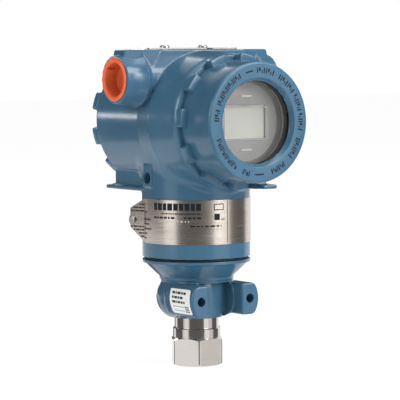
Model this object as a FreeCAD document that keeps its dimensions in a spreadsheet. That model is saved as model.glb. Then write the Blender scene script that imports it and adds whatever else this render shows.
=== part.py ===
import FreeCAD, Part
import math
import os
import Sketcher
from FreeCAD import Placement, Rotation, Vector

# Gage pressure transmitter with a display, in millimetres.
# Z is the neck axis and z = 0 is the bottom of the hexagon of the process connection.
# The barrel of the housing lies along Y: the display cover faces -Y, the blind cover +Y.
# The two conduit entries lie along X.

# Driving dimensions: each is one cell of the sheet, with this name as its alias.
SIZES = {
    # process connection
    "hex_across": 27.0,
    "hex_height": 15.6,
    "hex_chamfer": 1.2,
    "shoulder_radius": 13.4,
    "shoulder_height": 5.5,
    "stem_radius": 12.5,
    "stem_height": 5.9,
    "port_radius": 9.6,
    "port_depth": 16.0,
    "port_mouth": 0.9,
    "passage_radius": 3.2,
    "spigot_radius": 10.4,
    "spigot_height": 6.0,
    "diaphragm_thickness": 0.3,
    "cell_height": 15.0,
    # sensor module casting
    "bulb_foot_radius": 15.2,
    "bulb_height": 19.6,
    "bulb_bulge": 12.5,
    "waist_radius": 19.6,
    "waist_height": 3.4,
    "flare_height": 8.8,
    "flange_radius": 30.35,
    "flange_thickness": 1.3,
    "ear_foot": 2.4,
    "ear_height": 17.8,
    "ear_inner": 11.2,
    "ear_side": 19.9,
    "ear_bulge": 14.7,
    "ear_front": 28.3,
    "ear_root": 2.0,
    "ear_edge": 1.6,
    "column_end_radius": 14.7,
    "column_bulge": 32.0,
    "bracket_hole_spacing": 33.2,
    "bracket_hole_radius": 2.6,
    "bracket_hole_depth": 12.0,
    "bracket_hole_rise": 11.5,
    "label_thickness": 0.12,
    "label_height": 14.0,
    "label_front": 26.4,
    "label_length": 21.6,
    "cavity_radius": 17.4,
    # module header
    "header_flange_radius": 24.6,
    "header_flange_thickness": 2.5,
    "header_radius": 23.95,
    "header_height": 28.1,
    "header_recess_radius": 7.0,
    "header_recess_depth": 4.2,
    "header_stub": 4.6,
    "seal_gap": 1.4,
    "seal_section": 0.66,
    "seal_inset": 1.3,
    "connector_size": 9.0,
    "connector_height": 4.0,
    # neck of the housing
    "turn_clearance": 0.05,
    "neck_radius": 30.35,
    "neck_chamber": 30.5,
    "plate_drop": 4.3,
    "plate_height": 24.6,
    "plate_thickness": 0.35,
    "plate_tab_length": 10.5,
    "plate_tab_lean": 17.0,
    "plate_tab_trim": 5.6,
    "neck_blend_share": 0.75,
    # barrel
    "barrel_rise": 76.0,
    "barrel_radius": 37.0,
    "barrel_rear": 45.7,
    "collar_swell": 1.8,
    "collar_front": 34.3,
    "collar_ease": 5.0,
    "collar_ease_depth": 1.6,
    "swell_front": 12.0,
    "swell_length": 16.0,
    "bore_radius": 31.6,
    "partition_front": 12.0,
    "partition_rear": 8.0,
    # saddle, wings and conduit entries
    "flat_cover": 2.7,
    "saddle_front": 8.0,
    "saddle_rear": 24.0,
    "saddle_top_half": 28.0,
    "saddle_side_half": 36.5,
    "saddle_side_drop": 14.8,
    "saddle_edge": 1.2,
    "wing_setback": 0.2,
    "wing_lean": 3.1,
    "wing_half_width": 5.4,
    "wing_slant": 2.4,
    "conduit_drop": 16.5,
    "conduit_offset": 3.3,
    "conduit_reach": 51.5,
    "conduit_radius": 13.3,
    "flare_radius": 16.0,
    "flare_reach": 36.5,
    "flare_inner": 30.0,
    "flare_inner_length": 8.0,
    "conduit_bore": 10.2,
    # shelf under the barrel
    "shelf_half_width": 26.8,
    "shelf_thickness": 2.2,
    "shelf_drop": 39.5,
    "web_inset": 2.3,
    "web_drop": 17.5,
    "bead_height": 2.0,
    "lock_reach": 6.2,
    "lock_width": 9.5,
    "lock_rise": 1.8,
    "lock_screw_radius": 1.5,
    "ground_pad_width": 8.6,
    "ground_pad_height": 12.8,
    "ground_pad_reach": 31.5,
    "ground_pad_offset": 2.2,
    "ground_pad_edge": 1.2,
    "ground_hole_radius": 3.2,
    "ground_hole_depth": 8.0,
    "ground_hole_drop": 31.5,
    # covers
    "lug_count": 11,
    "lug_radius": 37.4,
    "lug_root": 33.5,
    "lug_thickness": 5.2,
    "lug_share": 0.5,
    "front_lug_phase": 20.7,
    "rear_lug_phase": 17.5,
    "cover_radius": 32.8,
    "cover_length": 25.3,
    "cover_edge": 1.2,
    "spigot_cover_radius": 31.1,
    "spigot_cover_length": 9.8,
    "cover_bore": 27.6,
    "cover_wall": 2.2,
    "ring_groove_width": 2.4,
    "ring_section": 1.05,
    "window_radius": 24.2,
    "window_seat_radius": 22.6,
    "window_seat_depth": 3.2,
    "glass_radius": 25.7,
    "glass_thickness": 7.0,
    "gasket_thickness": 0.4,
    "retainer_thickness": 1.4,
    # display and electronics
    "bezel_setback": 15.6,
    "bezel_radius": 21.8,
    "bezel_depth": 7.4,
    "bezel_wall": 1.2,
    "lcd_width": 27.2,
    "lcd_height": 18.0,
    "lcd_thickness": 2.2,
    "lcd_border": 1.4,
    "board_thickness": 1.6,
    "board_radius": 26.5,
    "carrier_clearance": 0.6,
    "carrier_depth": 16.0,
    "post_radius": 2.0,
    "post_circle": 16.0,
    "post_count": 4,
    "passage_offset": 20.0,
    "ribbon_passage": 5.6,
    "ribbon_width": 8.0,
    "ribbon_thickness": 0.8,
    # terminal side
    "terminal_radius": 19.4,
    "terminal_depth": 18.0,
    "terminal_drop": 4.5,
    "terminal_pitch": 11.0,
    "terminal_screw_head": 3.4,
    "terminal_head_height": 2.2,
    "terminal_pocket": 5.0,
    "terminal_count": 3,
    "earth_drop": 27.4,
    "earth_post_radius": 2.0,
    "earth_post_length": 9.0,
    "earth_head_radius": 3.2,
    "earth_head_height": 2.4,
    # tag plate and buttons
    "tag_length": 62.0,
    "tag_width": 19.0,
    "tag_thickness": 0.8,
    "tag_offset": 11.0,
    "tag_corner": 2.0,
    "tag_screw_spacing": 26.0,
    "tag_screw_radius": 1.5,
    "tag_head_radius": 2.75,
    "tag_head_height": 1.6,
    "tag_slot_clearance": 0.3,
    "button_spacing": 42.0,
    "button_radius": 3.2,
    "button_clearance": 0.1,
    "button_hole_depth": 9.6,
    "button_travel": 2.0,
    "button_below_top": 0.5,
    # orange conduit plugs
    "plug_rim_radius": 11.8,
    "plug_rim_thickness": 0.9,
    "plug_fit": 0.1,
    "plug_length": 13.0,
    "plug_wall": 1.9,
    "plug_floor": 2.0,
    "plug_grip": 2.4,
}

ALONG_X = Rotation(Vector(0, 1, 0), 90)
AGAINST_X = Rotation(Vector(0, 1, 0), -90)
ALONG_Y = Rotation(Vector(1, 0, 0), -90)
AGAINST_Y = Rotation(Vector(1, 0, 0), 90)
UPRIGHT = Rotation()

doc = FreeCAD.newDocument("PressureTransmitter")
sheet = doc.addObject("Spreadsheet::Sheet", "Sizes")
parts = []


class Size:
    """A length that knows its value and the expression that drives it."""

    def __init__(self, value, text=None):
        self.value = float(value)
        self.text = text or repr(self.value)

    def join(self, other, sign, value):
        return Size(value, "(%s %s %s)" % (self.text, sign, size(other).text))

    def __add__(self, other):
        return self.join(other, "+", self.value + size(other).value)

    def __sub__(self, other):
        return self.join(other, "-", self.value - size(other).value)

    def __mul__(self, other):
        return self.join(other, "*", self.value * size(other).value)

    def __truediv__(self, other):
        return self.join(other, "/", self.value / size(other).value)

    def __neg__(self):
        return Size(-self.value, "(-1 * %s)" % self.text)

    __radd__ = __add__
    __rmul__ = __mul__

    def __rsub__(self, other):
        return size(other) - self

    def __rtruediv__(self, other):
        return size(other) / self


def size(number):
    """Turn a plain number into a Size, and leave a Size as it is."""
    return number if isinstance(number, Size) else Size(number)


class Sheet:
    """The driving dimensions, each read as an attribute."""

    def __init__(self, sizes):
        for row, (alias, value) in enumerate(sizes.items(), start=1):
            sheet.set("A%d" % row, alias)
            sheet.set("B%d" % row, str(value))
            sheet.setAlias("B%d" % row, alias)
            setattr(self, alias, Size(value, "Sizes." + alias))


def bind(item, prop, amount):
    """Drive one property of an object from the sheet."""
    item.setExpression(prop, size(amount).text)


def place(item, x=0, y=0, z=0, turn=UPRIGHT):
    """Put an object at a place that follows the sheet."""
    spot = [size(x), size(y), size(z)]
    item.Placement = Placement(Vector(*[part.value for part in spot]), turn)
    for axis, part in zip("xyz", spot):
        bind(item, "Placement.Base." + axis, part)
    return item


def box(name, low, high):
    """A box between two corners."""
    item = doc.addObject("Part::Box", name)
    low = [size(part) for part in low]
    high = [size(part) for part in high]
    for prop, start, end in zip(("Length", "Width", "Height"), low, high):
        bind(item, prop, end - start)
    return place(item, *low)


def cylinder(name, radius, height, x=0, y=0, z=0, turn=UPRIGHT):
    item = doc.addObject("Part::Cylinder", name)
    bind(item, "Radius", radius)
    bind(item, "Height", height)
    return place(item, x, y, z, turn)


def torus(name, radius, section, x=0, y=0, z=0, turn=UPRIGHT):
    item = doc.addObject("Part::Torus", name)
    bind(item, "Radius1", radius)
    bind(item, "Radius2", section)
    return place(item, x, y, z, turn)


def fuse(name, items):
    item = doc.addObject("Part::MultiFuse", name)
    item.Shapes = items
    return item


def cut(name, base, tools):
    """Cut one or more tools out of a base."""
    item = doc.addObject("Part::Cut", name)
    item.Base = base
    item.Tool = tools[0] if len(tools) == 1 else fuse(name + "Tools", tools)
    return item


def common(name, base, tool):
    item = doc.addObject("Part::Common", name)
    item.Base = base
    item.Tool = tool
    return item


def arc_centre(start, end, radius):
    """Centre of the arc that bulges to the right of the way from start to end."""
    chord = end - start
    half = chord.Length / 2
    left = Vector(-chord.y, chord.x, 0).normalize()
    sag = math.sqrt(max(radius * radius - half * half, 0))
    return start + chord * 0.5 + left * sag


def draw(sketch, points, bulges):
    """Draw a closed outline: straight sides, and arcs where a bulge radius is given.

    A positive radius bulges to the right of the way along the outline, a negative one to the left.
    """
    count = len(points)
    spots = [Vector(x.value, y.value, 0) for x, y in points]
    ends = []
    for index, spot in enumerate(spots):
        after = spots[(index + 1) % count]
        if index not in bulges:
            sketch.addGeometry(Part.LineSegment(spot, after), False)
            ends.append((1, 2))
            continue
        radius = bulges[index].value
        first, last = (spot, after) if radius > 0 else (after, spot)
        centre = arc_centre(first, last, abs(radius))
        circle = Part.Circle(centre, Vector(0, 0, 1), abs(radius))
        angles = [math.atan2(end.y - centre.y, end.x - centre.x) for end in (first, last)]
        sketch.addGeometry(Part.ArcOfCircle(circle, angles[0], angles[1]), False)
        ends.append((1, 2) if radius > 0 else (2, 1))
    for index in range(count):
        after = (index + 1) % count
        sketch.addConstraint(Sketcher.Constraint("Coincident", index, ends[index][1], after, ends[after][0]))
    for index, spot in enumerate(points):
        for kind, axis, amount in (("DistanceX", -2, spot[0]), ("DistanceY", -1, spot[1])):
            if amount.value == 0:
                sketch.addConstraint(Sketcher.Constraint("PointOnObject", index, ends[index][0], axis))
                continue
            number = sketch.addConstraint(
                Sketcher.Constraint(kind, -1, 1, index, ends[index][0], amount.value))
            sketch.setExpression("Constraints[%d]" % number, amount.text)
    for index, bulge in bulges.items():
        number = sketch.addConstraint(Sketcher.Constraint("Radius", index, abs(bulge.value)))
        text = bulge.text if bulge.value > 0 else (-bulge).text
        sketch.setExpression("Constraints[%d]" % number, text)


def body_sketch(body, role, name, points, bulges=None, offset=None):
    """A sketch on one of the body's own planes, shifted along its normal where asked."""
    sketch = body.newObject("Sketcher::SketchObject", name)
    plane = [item for item in body.Origin.OriginFeatures if item.Role == role][0]
    sketch.AttachmentSupport = (plane, [""])
    sketch.MapMode = "FlatFace"
    if offset is not None:
        sketch.AttachmentOffset = Placement(Vector(0, 0, offset.value), UPRIGHT)
        bind(sketch, "AttachmentOffset.Base.z", offset)
    draw(sketch, [(size(x), size(y)) for x, y in points], bulges or {})
    return sketch


def turned(name, role, points, bulges=None):
    """A body turned about the upright line of its sketch: Z on XZ_Plane, Y on XY_Plane."""
    body = doc.addObject("PartDesign::Body", name)
    sketch = body_sketch(body, role, name + "Outline", points, bulges)
    turn = body.newObject("PartDesign::Revolution", name + "Turned")
    turn.Profile = sketch
    turn.ReferenceAxis = (sketch, ["V_Axis"])
    turn.Angle = 360
    body.Tip = turn
    return body


def padded(name, role, points, start, length, bulges=None):
    """A body that is an outline pushed out from a plane, along the plane's normal."""
    body = doc.addObject("PartDesign::Body", name)
    sketch = body_sketch(body, role, name + "Outline", points, bulges, size(start))
    pad = body.newObject("PartDesign::Pad", name + "Pad")
    pad.Profile = sketch
    bind(pad, "Length", length)
    body.Tip = pad
    return body


def rounded(name, base, edges, radius):
    """Round chosen edges of a base."""
    doc.recompute()
    item = doc.addObject("Part::Fillet", name)
    item.Base = base
    chosen = [index for index, edge in enumerate(base.Shape.Edges, start=1) if edges(edge)]
    item.Edges = [(index, size(radius).value, size(radius).value) for index in chosen]
    return item


def keep(item, label):
    """Name a finished sub-part, which is written to a file of that name."""
    item.Label = label
    parts.append(item)
    return item


s = Sheet(SIZES)

# Heights up the neck axis
shoulder_top = s.hex_height + s.shoulder_height
casting_foot = shoulder_top + s.stem_height
spigot_top = casting_foot + s.spigot_height
diaphragm_top = spigot_top + s.diaphragm_thickness
cell_top = diaphragm_top + s.cell_height
bulb_top = casting_foot + s.bulb_height
waist_top = bulb_top + s.waist_height
flare_top = waist_top + s.flare_height
casting_top = flare_top + s.flange_thickness
header_top = casting_top + s.header_height
recess_floor = header_top - s.header_recess_depth
neck_foot = casting_top + s.seal_gap
neck_ceiling = neck_foot + s.neck_chamber
barrel_axis = neck_foot + s.barrel_rise
collar_radius = s.barrel_radius + s.collar_swell
flat_top = barrel_axis + s.barrel_radius + s.flat_cover
conduit_axis = flat_top - s.conduit_drop
shelf_bottom = barrel_axis - s.shelf_drop
ground_hole = barrel_axis - s.ground_hole_drop
plate_bottom = barrel_axis - collar_radius - s.plate_drop - s.plate_height
clamp_height = (neck_foot + plate_bottom) / 2

# Places along the barrel
lug_front = s.collar_front + s.lug_thickness
cover_face = s.collar_front + s.cover_length
seat_face = cover_face - s.window_seat_depth
glass_front = seat_face - s.gasket_thickness
glass_back = glass_front - s.glass_thickness
bezel_front = cover_face - s.bezel_setback
bezel_back = bezel_front - s.bezel_depth
carrier_front = s.partition_front + s.carrier_depth
main_board_front = carrier_front + s.board_thickness
display_board_back = bezel_back - s.board_thickness


def process_connection():
    """Hexagon, two round steps and spigot turned from bar, with the threaded port drilled from below."""
    corner = s.hex_across / math.sqrt(3)
    flat = s.hex_across / 2
    prism = doc.addObject("Part::Prism", "HexBar")
    prism.Polygon = 6
    bind(prism, "Circumradius", corner)
    bind(prism, "Height", s.hex_height)
    chamfered = turned("HexChamfer", "XZ_Plane", [
        (0, 0),
        (flat, 0),
        (corner + 0.2, s.hex_chamfer),
        (corner + 0.2, s.hex_height - s.hex_chamfer),
        (flat, s.hex_height),
        (0, s.hex_height)])
    hexagon = common("Hexagon", prism, chamfered)
    steps = turned("TurnedSteps", "XZ_Plane", [
        (0, s.hex_height / 2),
        (s.shoulder_radius, s.hex_height / 2),
        (s.shoulder_radius, shoulder_top - 0.4),
        (s.shoulder_radius - 0.4, shoulder_top),
        (s.stem_radius, shoulder_top),
        (s.stem_radius, casting_foot),
        (s.spigot_radius, casting_foot),
        (s.spigot_radius, spigot_top),
        (0, spigot_top)])
    drill_tip = s.port_depth + (s.port_radius - s.passage_radius) * 0.577
    port = turned("PortDrill", "XZ_Plane", [
        (0, -1),
        (s.port_radius + s.port_mouth + 1, -1),
        (s.port_radius, s.port_mouth),
        (s.port_radius, s.port_depth),
        (s.passage_radius, drill_tip),
        (s.passage_radius, spigot_top + 1),
        (0, spigot_top + 1)])
    blank = fuse("ConnectionBlank", [hexagon, steps])
    keep(cut("Connection", blank, [port]), "process_connection")


def sensor_parts():
    """Isolating diaphragm, welded cell above it and the header that carries the wires up."""
    disc = cylinder("Diaphragm", s.spigot_radius - 1, s.diaphragm_thickness, z=spigot_top)
    keep(disc, "isolating_diaphragm")
    cell = turned("Cell", "XZ_Plane", [
        (0, diaphragm_top),
        (s.spigot_radius - 0.6, diaphragm_top),
        (s.spigot_radius - 0.6, cell_top - 3),
        (s.spigot_radius * 0.6, cell_top - 3),
        (s.spigot_radius * 0.6, cell_top),
        (0, cell_top)])
    keep(cell, "sensor_cell")
    ledge = casting_top - s.header_flange_thickness
    stub_radius = s.cavity_radius - 0.2
    header = turned("Header", "XZ_Plane", [
        (0, ledge - s.header_stub),
        (stub_radius, ledge - s.header_stub),
        (stub_radius, ledge),
        (s.header_flange_radius - 0.1, ledge),
        (s.header_flange_radius - 0.1, casting_top),
        (s.header_radius, casting_top),
        (s.header_radius, header_top - 0.6),
        (s.header_radius - 0.6, header_top),
        (s.header_recess_radius, header_top),
        (s.header_recess_radius, recess_floor),
        (0, recess_floor)])
    keep(header, "module_header")
    half = s.connector_size / 2
    socket = box("Socket", (-half, -half * 0.6, recess_floor),
                 (half, half * 0.6, recess_floor + s.connector_height))
    keep(socket, "header_connector")
    tube = cylinder("CellTube", 1.5, ledge - s.header_stub - cell_top, z=cell_top)
    keep(tube, "cell_lead_tube")
    ring_radius = s.flange_radius - s.seal_inset - s.seal_section
    keep(torus("ModuleSeal", ring_radius, s.seal_section, z=casting_top + s.seal_gap / 2), "module_seal")


def sensor_casting():
    """Cast module: flared rim, waist and bulb, with two bracket ears that stand to the front."""
    shell = turned("CastingShell", "XZ_Plane", [
        (s.spigot_radius + 0.03, casting_foot),
        (s.bulb_foot_radius, casting_foot),
        (s.waist_radius, bulb_top),
        (s.waist_radius, waist_top),
        (s.waist_radius + 1.2, waist_top + 2.1),
        (s.flange_radius - 0.9, flare_top - 0.7),
        (s.flange_radius, flare_top),
        (s.flange_radius, casting_top - 0.3),
        (s.flange_radius - 0.3, casting_top),
        (s.header_flange_radius, casting_top),
        (s.header_flange_radius, casting_top - s.header_flange_thickness),
        (s.cavity_radius, casting_top - s.header_flange_thickness),
        (s.cavity_radius, waist_top + 2.2),
        (s.spigot_radius + 0.03, waist_top + 0.4)],
        {1: s.bulb_bulge})
    ears = []
    foot = casting_foot + s.ear_foot
    top = foot + s.ear_height
    for side, name in ((1, "Right"), (-1, "Left")):
        outline = [
            (s.ear_inner * side, foot),
            (s.ear_side * side, foot),
            (s.ear_side * side, top),
            (s.ear_inner * side, top)]
        bulge = {1: s.ear_bulge * side}
        ears.append(padded(name + "Ear", "XZ_Plane", outline, s.ear_root, s.ear_front - s.ear_root, bulge))
    column = turned("Column", "XZ_Plane", [
        (0, casting_foot - 1),
        (s.column_end_radius, casting_foot - 1),
        (s.column_end_radius, bulb_top + 1),
        (0, bulb_top + 1)],
        {1: s.column_bulge})
    gap = box("EarGap", (-s.ear_inner, -s.ear_front - 1, casting_foot - 1),
              (s.ear_inner, -s.column_end_radius / 2, bulb_top + 0.6))
    slot = cut("EarSlot", gap, [column])
    holes = []
    for side, name in ((1, "Right"), (-1, "Left")):
        holes.append(cylinder(name + "BracketHole", s.bracket_hole_radius, s.bracket_hole_depth + 1,
                              x=s.bracket_hole_spacing / 2 * side, y=-s.ear_front - 1,
                              z=casting_foot + s.bracket_hole_rise, turn=ALONG_Y))
    blank = fuse("CastingBlank", [shell] + ears)
    pierced = cut("CastingPierced", blank, [slot] + holes)
    front = -s.ear_front.value

    def at_front(edge):
        spots = [vertex.Point for vertex in edge.Vertexes]
        flat = all(abs(spot.y - front) < 0.01 for spot in spots)
        return flat and len(spots) == 2 and edge.Length > 3 * s.bracket_hole_radius.value

    keep(rounded("CastingRounded", pierced, at_front, s.ear_edge), "sensor_module_casting")


def serial_label():
    """Thin white label on the outer side of the left ear, curved with the casting."""
    middle = casting_foot + s.ear_foot + s.ear_height / 2
    low = middle - s.label_height / 2
    high = middle + s.label_height / 2
    bulge = s.ear_bulge.value
    ear_inset = math.sqrt(bulge ** 2 - (s.ear_height.value / 2) ** 2)
    label_inset = math.sqrt(bulge ** 2 - (s.label_height.value / 2) ** 2)
    inner = s.ear_side + label_inset - ear_inset + 0.01
    outer = inner + s.label_thickness
    outline = [(-inner, low), (-inner, high), (-outer, high), (-outer, low)]
    bulges = {0: -s.ear_bulge, 2: s.ear_bulge}
    label = padded("Label", "XZ_Plane", outline, s.label_front - s.label_length, s.label_length, bulges)
    keep(label, "serial_label")


process_connection()
sensor_parts()
sensor_casting()
serial_label()


def barrel_blank():
    """Outside of the barrel with its wider collar, blended into the neck, still without cavities."""
    swell_bulge = (s.swell_length * s.swell_length + s.collar_swell * s.collar_swell) / (4 * s.collar_swell)
    ease_bulge = (s.collar_ease * s.collar_ease + s.collar_ease_depth * s.collar_ease_depth) / (
        2 * s.collar_ease_depth)
    barrel = turned("Barrel", "XY_Plane", [
        (0, s.barrel_rear),
        (0, -s.collar_front),
        (collar_radius - s.collar_ease_depth, -s.collar_front),
        (collar_radius, s.collar_ease - s.collar_front),
        (collar_radius, -s.swell_front),
        (collar_radius - s.collar_swell / 2, s.swell_length / 2 - s.swell_front),
        (s.barrel_radius, s.swell_length - s.swell_front),
        (s.barrel_radius, s.barrel_rear - 0.4),
        (s.barrel_radius - 0.4, s.barrel_rear)],
        {2: ease_bulge, 4: swell_bulge, 5: -swell_bulge})
    place(barrel, z=barrel_axis)
    neck = turned("Neck", "XZ_Plane", [
        (0, neck_foot),
        (s.neck_radius - 0.4, neck_foot),
        (s.neck_radius, neck_foot + 0.4),
        (s.neck_radius, barrel_axis - s.barrel_radius / 2),
        (0, barrel_axis - s.barrel_radius / 2)])
    low = (barrel_axis - collar_radius).value
    high = (barrel_axis - s.barrel_radius / 2).value

    def at_joint(edge):
        spread = edge.BoundBox
        curved = not isinstance(edge.Curve, Part.Line) and spread.YLength > 0.01
        return curved and spread.ZMin > low - 2 and spread.ZMax < high - 2 and edge.Length > 5

    blend = (s.barrel_radius - s.neck_radius) * s.neck_blend_share
    return rounded("NeckBlend", fuse("BarrelAndNeck", [barrel, neck]), at_joint, blend)


def wing(name, side):
    """Sloped wedge that carries the flat top out over a conduit entry."""
    sections = []
    wing_foot = s.conduit_reach - s.wing_setback
    tip_front = s.conduit_offset - s.wing_half_width
    tip_rear = s.conduit_offset + s.wing_half_width
    for reach, foot, low, high in (
            (s.saddle_top_half, s.saddle_top_half, -s.saddle_front, s.saddle_rear),
            (wing_foot - s.wing_lean, wing_foot, tip_front, tip_rear)):
        corners = [
            (reach, low, flat_top),
            (foot, low - s.wing_slant, flat_top - s.saddle_side_drop),
            (foot, high + s.wing_slant, flat_top - s.saddle_side_drop),
            (reach, high, flat_top)]
        sections.append([Vector(x.value * side, y.value, z.value) for x, y, z in corners])
    wires = [Part.makePolygon(corners + [corners[0]]) for corners in sections]
    item = doc.addObject("Part::Feature", name)
    item.Shape = Part.makeLoft(wires, True, True)
    return item


def conduit_entries():
    """Both conduit entries as one turned bar along X, flared where they leave the barrel."""
    body = doc.addObject("PartDesign::Body", "ConduitEntries")
    flare = s.flare_radius - s.conduit_radius
    half = [
        (s.flare_inner - s.flare_inner_length, s.conduit_bore),
        (s.flare_inner, s.flare_radius),
        (s.flare_reach, s.flare_radius),
        (s.flare_reach + flare, s.conduit_radius),
        (s.conduit_reach, s.conduit_radius)]
    outline = [(s.conduit_reach, 0), (-s.conduit_reach, 0)]
    outline += [(-x, radius) for x, radius in reversed(half)]
    outline += half
    sketch = body_sketch(body, "XY_Plane", "ConduitOutline", outline, {3: -flare, 9: -flare})
    turn = body.newObject("PartDesign::Revolution", "ConduitTurned")
    turn.Profile = sketch
    turn.ReferenceAxis = (sketch, ["H_Axis"])
    turn.Angle = 360
    body.Tip = turn
    return place(body, y=s.conduit_offset, z=conduit_axis)


def saddle_blank():
    """Flat-topped saddle between the conduit entries, its wings and the entries themselves."""
    half = s.saddle_side_half
    side_top = flat_top - s.saddle_side_drop
    outline = [
        (-half, barrel_axis),
        (half, barrel_axis),
        (half, side_top),
        (s.saddle_top_half, flat_top),
        (-s.saddle_top_half, flat_top),
        (-half, side_top)]
    saddle = padded("Saddle", "XZ_Plane", outline, -s.saddle_rear, s.saddle_rear + s.saddle_front)
    limits = box("WingLimits", (-s.conduit_reach * 2, -s.saddle_front, barrel_axis),
                 (s.conduit_reach * 2, s.saddle_rear, flat_top))
    wings = fuse("Wings", [wing("RightWing", 1), wing("LeftWing", -1)])
    blank = fuse("SaddleAndWings", [saddle, common("WingsTrimmed", wings, limits)])
    top = flat_top.value - 0.01
    return [rounded("SaddleRounded", blank, lambda edge: edge.BoundBox.ZMin > top, s.saddle_edge),
            conduit_entries()]


def shelf_blank():
    """Shelf under the rear of the barrel with its webs, and the two tabs that carry the cover locks."""
    half = s.shelf_half_width
    shelf_top = shelf_bottom + s.shelf_thickness
    web = half - s.web_inset
    rear = s.barrel_rear
    web_box = box("ShelfWeb", (-web, 0, shelf_bottom), (web, rear, barrel_axis - s.web_drop))
    plate = box("ShelfPlate", (-half, 0, shelf_bottom), (half, rear, shelf_top))
    bead_foot = barrel_axis - s.barrel_radius * 0.745
    bead = box("ShelfBead", (-web - 1.3, 0, bead_foot), (web + 1.3, rear, bead_foot + s.bead_height))
    rear_tab = padded("RearTab", "XY_Plane", [
        (-half, rear - s.lock_width),
        (-half + s.lock_width, rear - s.lock_width),
        (-half + s.lock_width, rear + s.lock_reach - 2.5),
        (-half + s.lock_width - 2.5, rear + s.lock_reach),
        (-half + 2.5, rear + s.lock_reach),
        (-half, rear + s.lock_reach - 2.5)],
        shelf_bottom, s.shelf_thickness, {2: size(2.6), 4: size(2.6)})
    front = -s.collar_front
    front_tab = padded("FrontTab", "XY_Plane", [
        (half - s.lock_width, front + s.lock_width),
        (half - s.lock_width, front - s.lock_reach + 2.5),
        (half - s.lock_width + 2.5, front - s.lock_reach),
        (half - 2.5, front - s.lock_reach),
        (half, front - s.lock_reach + 2.5),
        (half, front + s.lock_width)],
        shelf_bottom + s.lock_rise, s.shelf_thickness, {1: size(2.6), 3: size(2.6)})
    rib = box("FrontTabRib", (half - s.lock_width, front + 1, shelf_bottom + s.lock_rise),
              (half - 2, front + s.lock_width, shelf_bottom + s.lock_rise + 8))
    return [web_box, plate, bead, rear_tab, front_tab, rib]


def ground_pad():
    """Pad on the left of the neck for the outer earth screw."""
    reach = s.ground_pad_reach
    half = s.ground_pad_width / 2
    foot = ground_hole - s.ground_pad_height * 0.4
    pad = box("GroundPad", (-reach, s.ground_pad_offset - half, foot),
              (-s.neck_radius / 2, s.ground_pad_offset + half, foot + s.ground_pad_height))
    face = -reach.value + 0.01
    return rounded("GroundPadRounded", pad, lambda edge: edge.BoundBox.XMin < face, s.ground_pad_edge)


def housing():
    """One casting: barrel, neck, saddle, conduit entries, shelf and pads, then every bore and hole."""
    blank = fuse("HousingBlank", [barrel_blank(), ground_pad(), tab_boss()] + saddle_blank() + shelf_blank())
    centre = barrel_axis
    cuts = [
        cylinder("FrontBore", s.bore_radius, s.collar_front - s.partition_front + 1,
                 y=-s.collar_front - 1, z=centre, turn=ALONG_Y),
        cylinder("RearBore", s.bore_radius, s.barrel_rear + s.partition_rear + 1,
                 y=-s.partition_rear, z=centre, turn=ALONG_Y),
        cylinder("NeckBore", s.header_radius + s.turn_clearance, s.neck_chamber + 1, z=neck_foot - 1),
        cylinder("RibbonPassage", s.ribbon_passage, barrel_axis - neck_ceiling - s.bore_radius + 6,
                 y=-s.passage_offset, z=neck_ceiling - 1),
        cylinder("GroundHole", s.ground_hole_radius, s.ground_hole_depth + 1, x=-s.ground_pad_reach - 1,
                 y=s.ground_pad_offset, z=ground_hole, turn=ALONG_X),
        cylinder("RotationScrewHole", s.lock_screw_radius + 0.03, s.neck_radius, y=s.header_radius - 1,
                 z=clamp_height, turn=ALONG_Y)]
    for side, name in ((1, "Right"), (-1, "Left")):
        cuts.append(cylinder(name + "ConduitBore", s.conduit_bore, s.conduit_reach + 1,
                             x=(s.conduit_reach + 1) * side, y=s.conduit_offset, z=conduit_axis,
                             turn=AGAINST_X if side > 0 else ALONG_X))
        button_radius = s.button_radius + s.button_clearance
        cuts.append(cylinder(name + "ButtonHole", button_radius, s.button_hole_depth + 1,
                             x=s.button_spacing / 2 * side, y=s.tag_offset,
                             z=flat_top - s.button_hole_depth))
        cuts.append(cylinder(name + "TagScrewHole", s.tag_screw_radius + 0.03, 6,
                             x=s.tag_screw_spacing / 2 * side, y=s.tag_offset, z=flat_top - 5))
    for name, spot in lock_spots().items():
        cuts.append(cylinder(name + "LockHole", s.lock_screw_radius + 0.03, s.shelf_thickness + 2,
                             x=spot[0], y=spot[1], z=spot[2] - 1))
    cuts.append(tab_screw_hole())
    keep(cut("Housing", blank, cuts), "housing")


def lock_spots():
    """Centres of the two cover lock screws, at the bottom of their tabs."""
    inset = s.lock_width / 2
    reach = s.lock_reach - 3.3
    return {
        "Rear": (-s.shelf_half_width + inset, s.barrel_rear + reach, shelf_bottom),
        "Front": (s.shelf_half_width - inset, -s.collar_front - reach, shelf_bottom + s.lock_rise)}


# The nameplate wraps the neck clockwise from here and its tab leaves the neck here.
TAB_ANGLE = math.radians(165)
PLATE_END_ANGLE = math.radians(165 + 232)


def tab_frame():
    """Where the tab leaves the neck, the way it points and the way it faces."""
    root = Vector(math.cos(TAB_ANGLE), math.sin(TAB_ANGLE), 0) * (s.neck_radius + s.plate_thickness).value
    lean = math.radians(s.plate_tab_lean.value)
    along = Vector(-math.sin(lean), math.cos(lean), 0)
    facing = Vector(-along.y, along.x, 0)
    return root, along, facing


def tab_boss():
    """Boss cast on the neck behind the tab, which takes the nameplate's screw."""
    root, along, facing = tab_frame()
    middle = plate_bottom + s.plate_height / 2
    spot = root + along * (s.plate_tab_length - 2.2).value - facing * s.plate_thickness.value
    item = doc.addObject("Part::Feature", "TabBoss")
    item.Shape = Part.makeCylinder(3.6, 12, Vector(spot.x, spot.y, middle.value), -facing)
    return item


def tab_screw_hole():
    root, along, facing = tab_frame()
    middle = plate_bottom + s.plate_height / 2
    spot = root + along * (s.plate_tab_length - 2.2).value
    item = doc.addObject("Part::Feature", "TabScrewHole")
    item.Shape = Part.makeCylinder(1.23, 7, Vector(spot.x, spot.y, middle.value), -facing)
    return item


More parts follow.
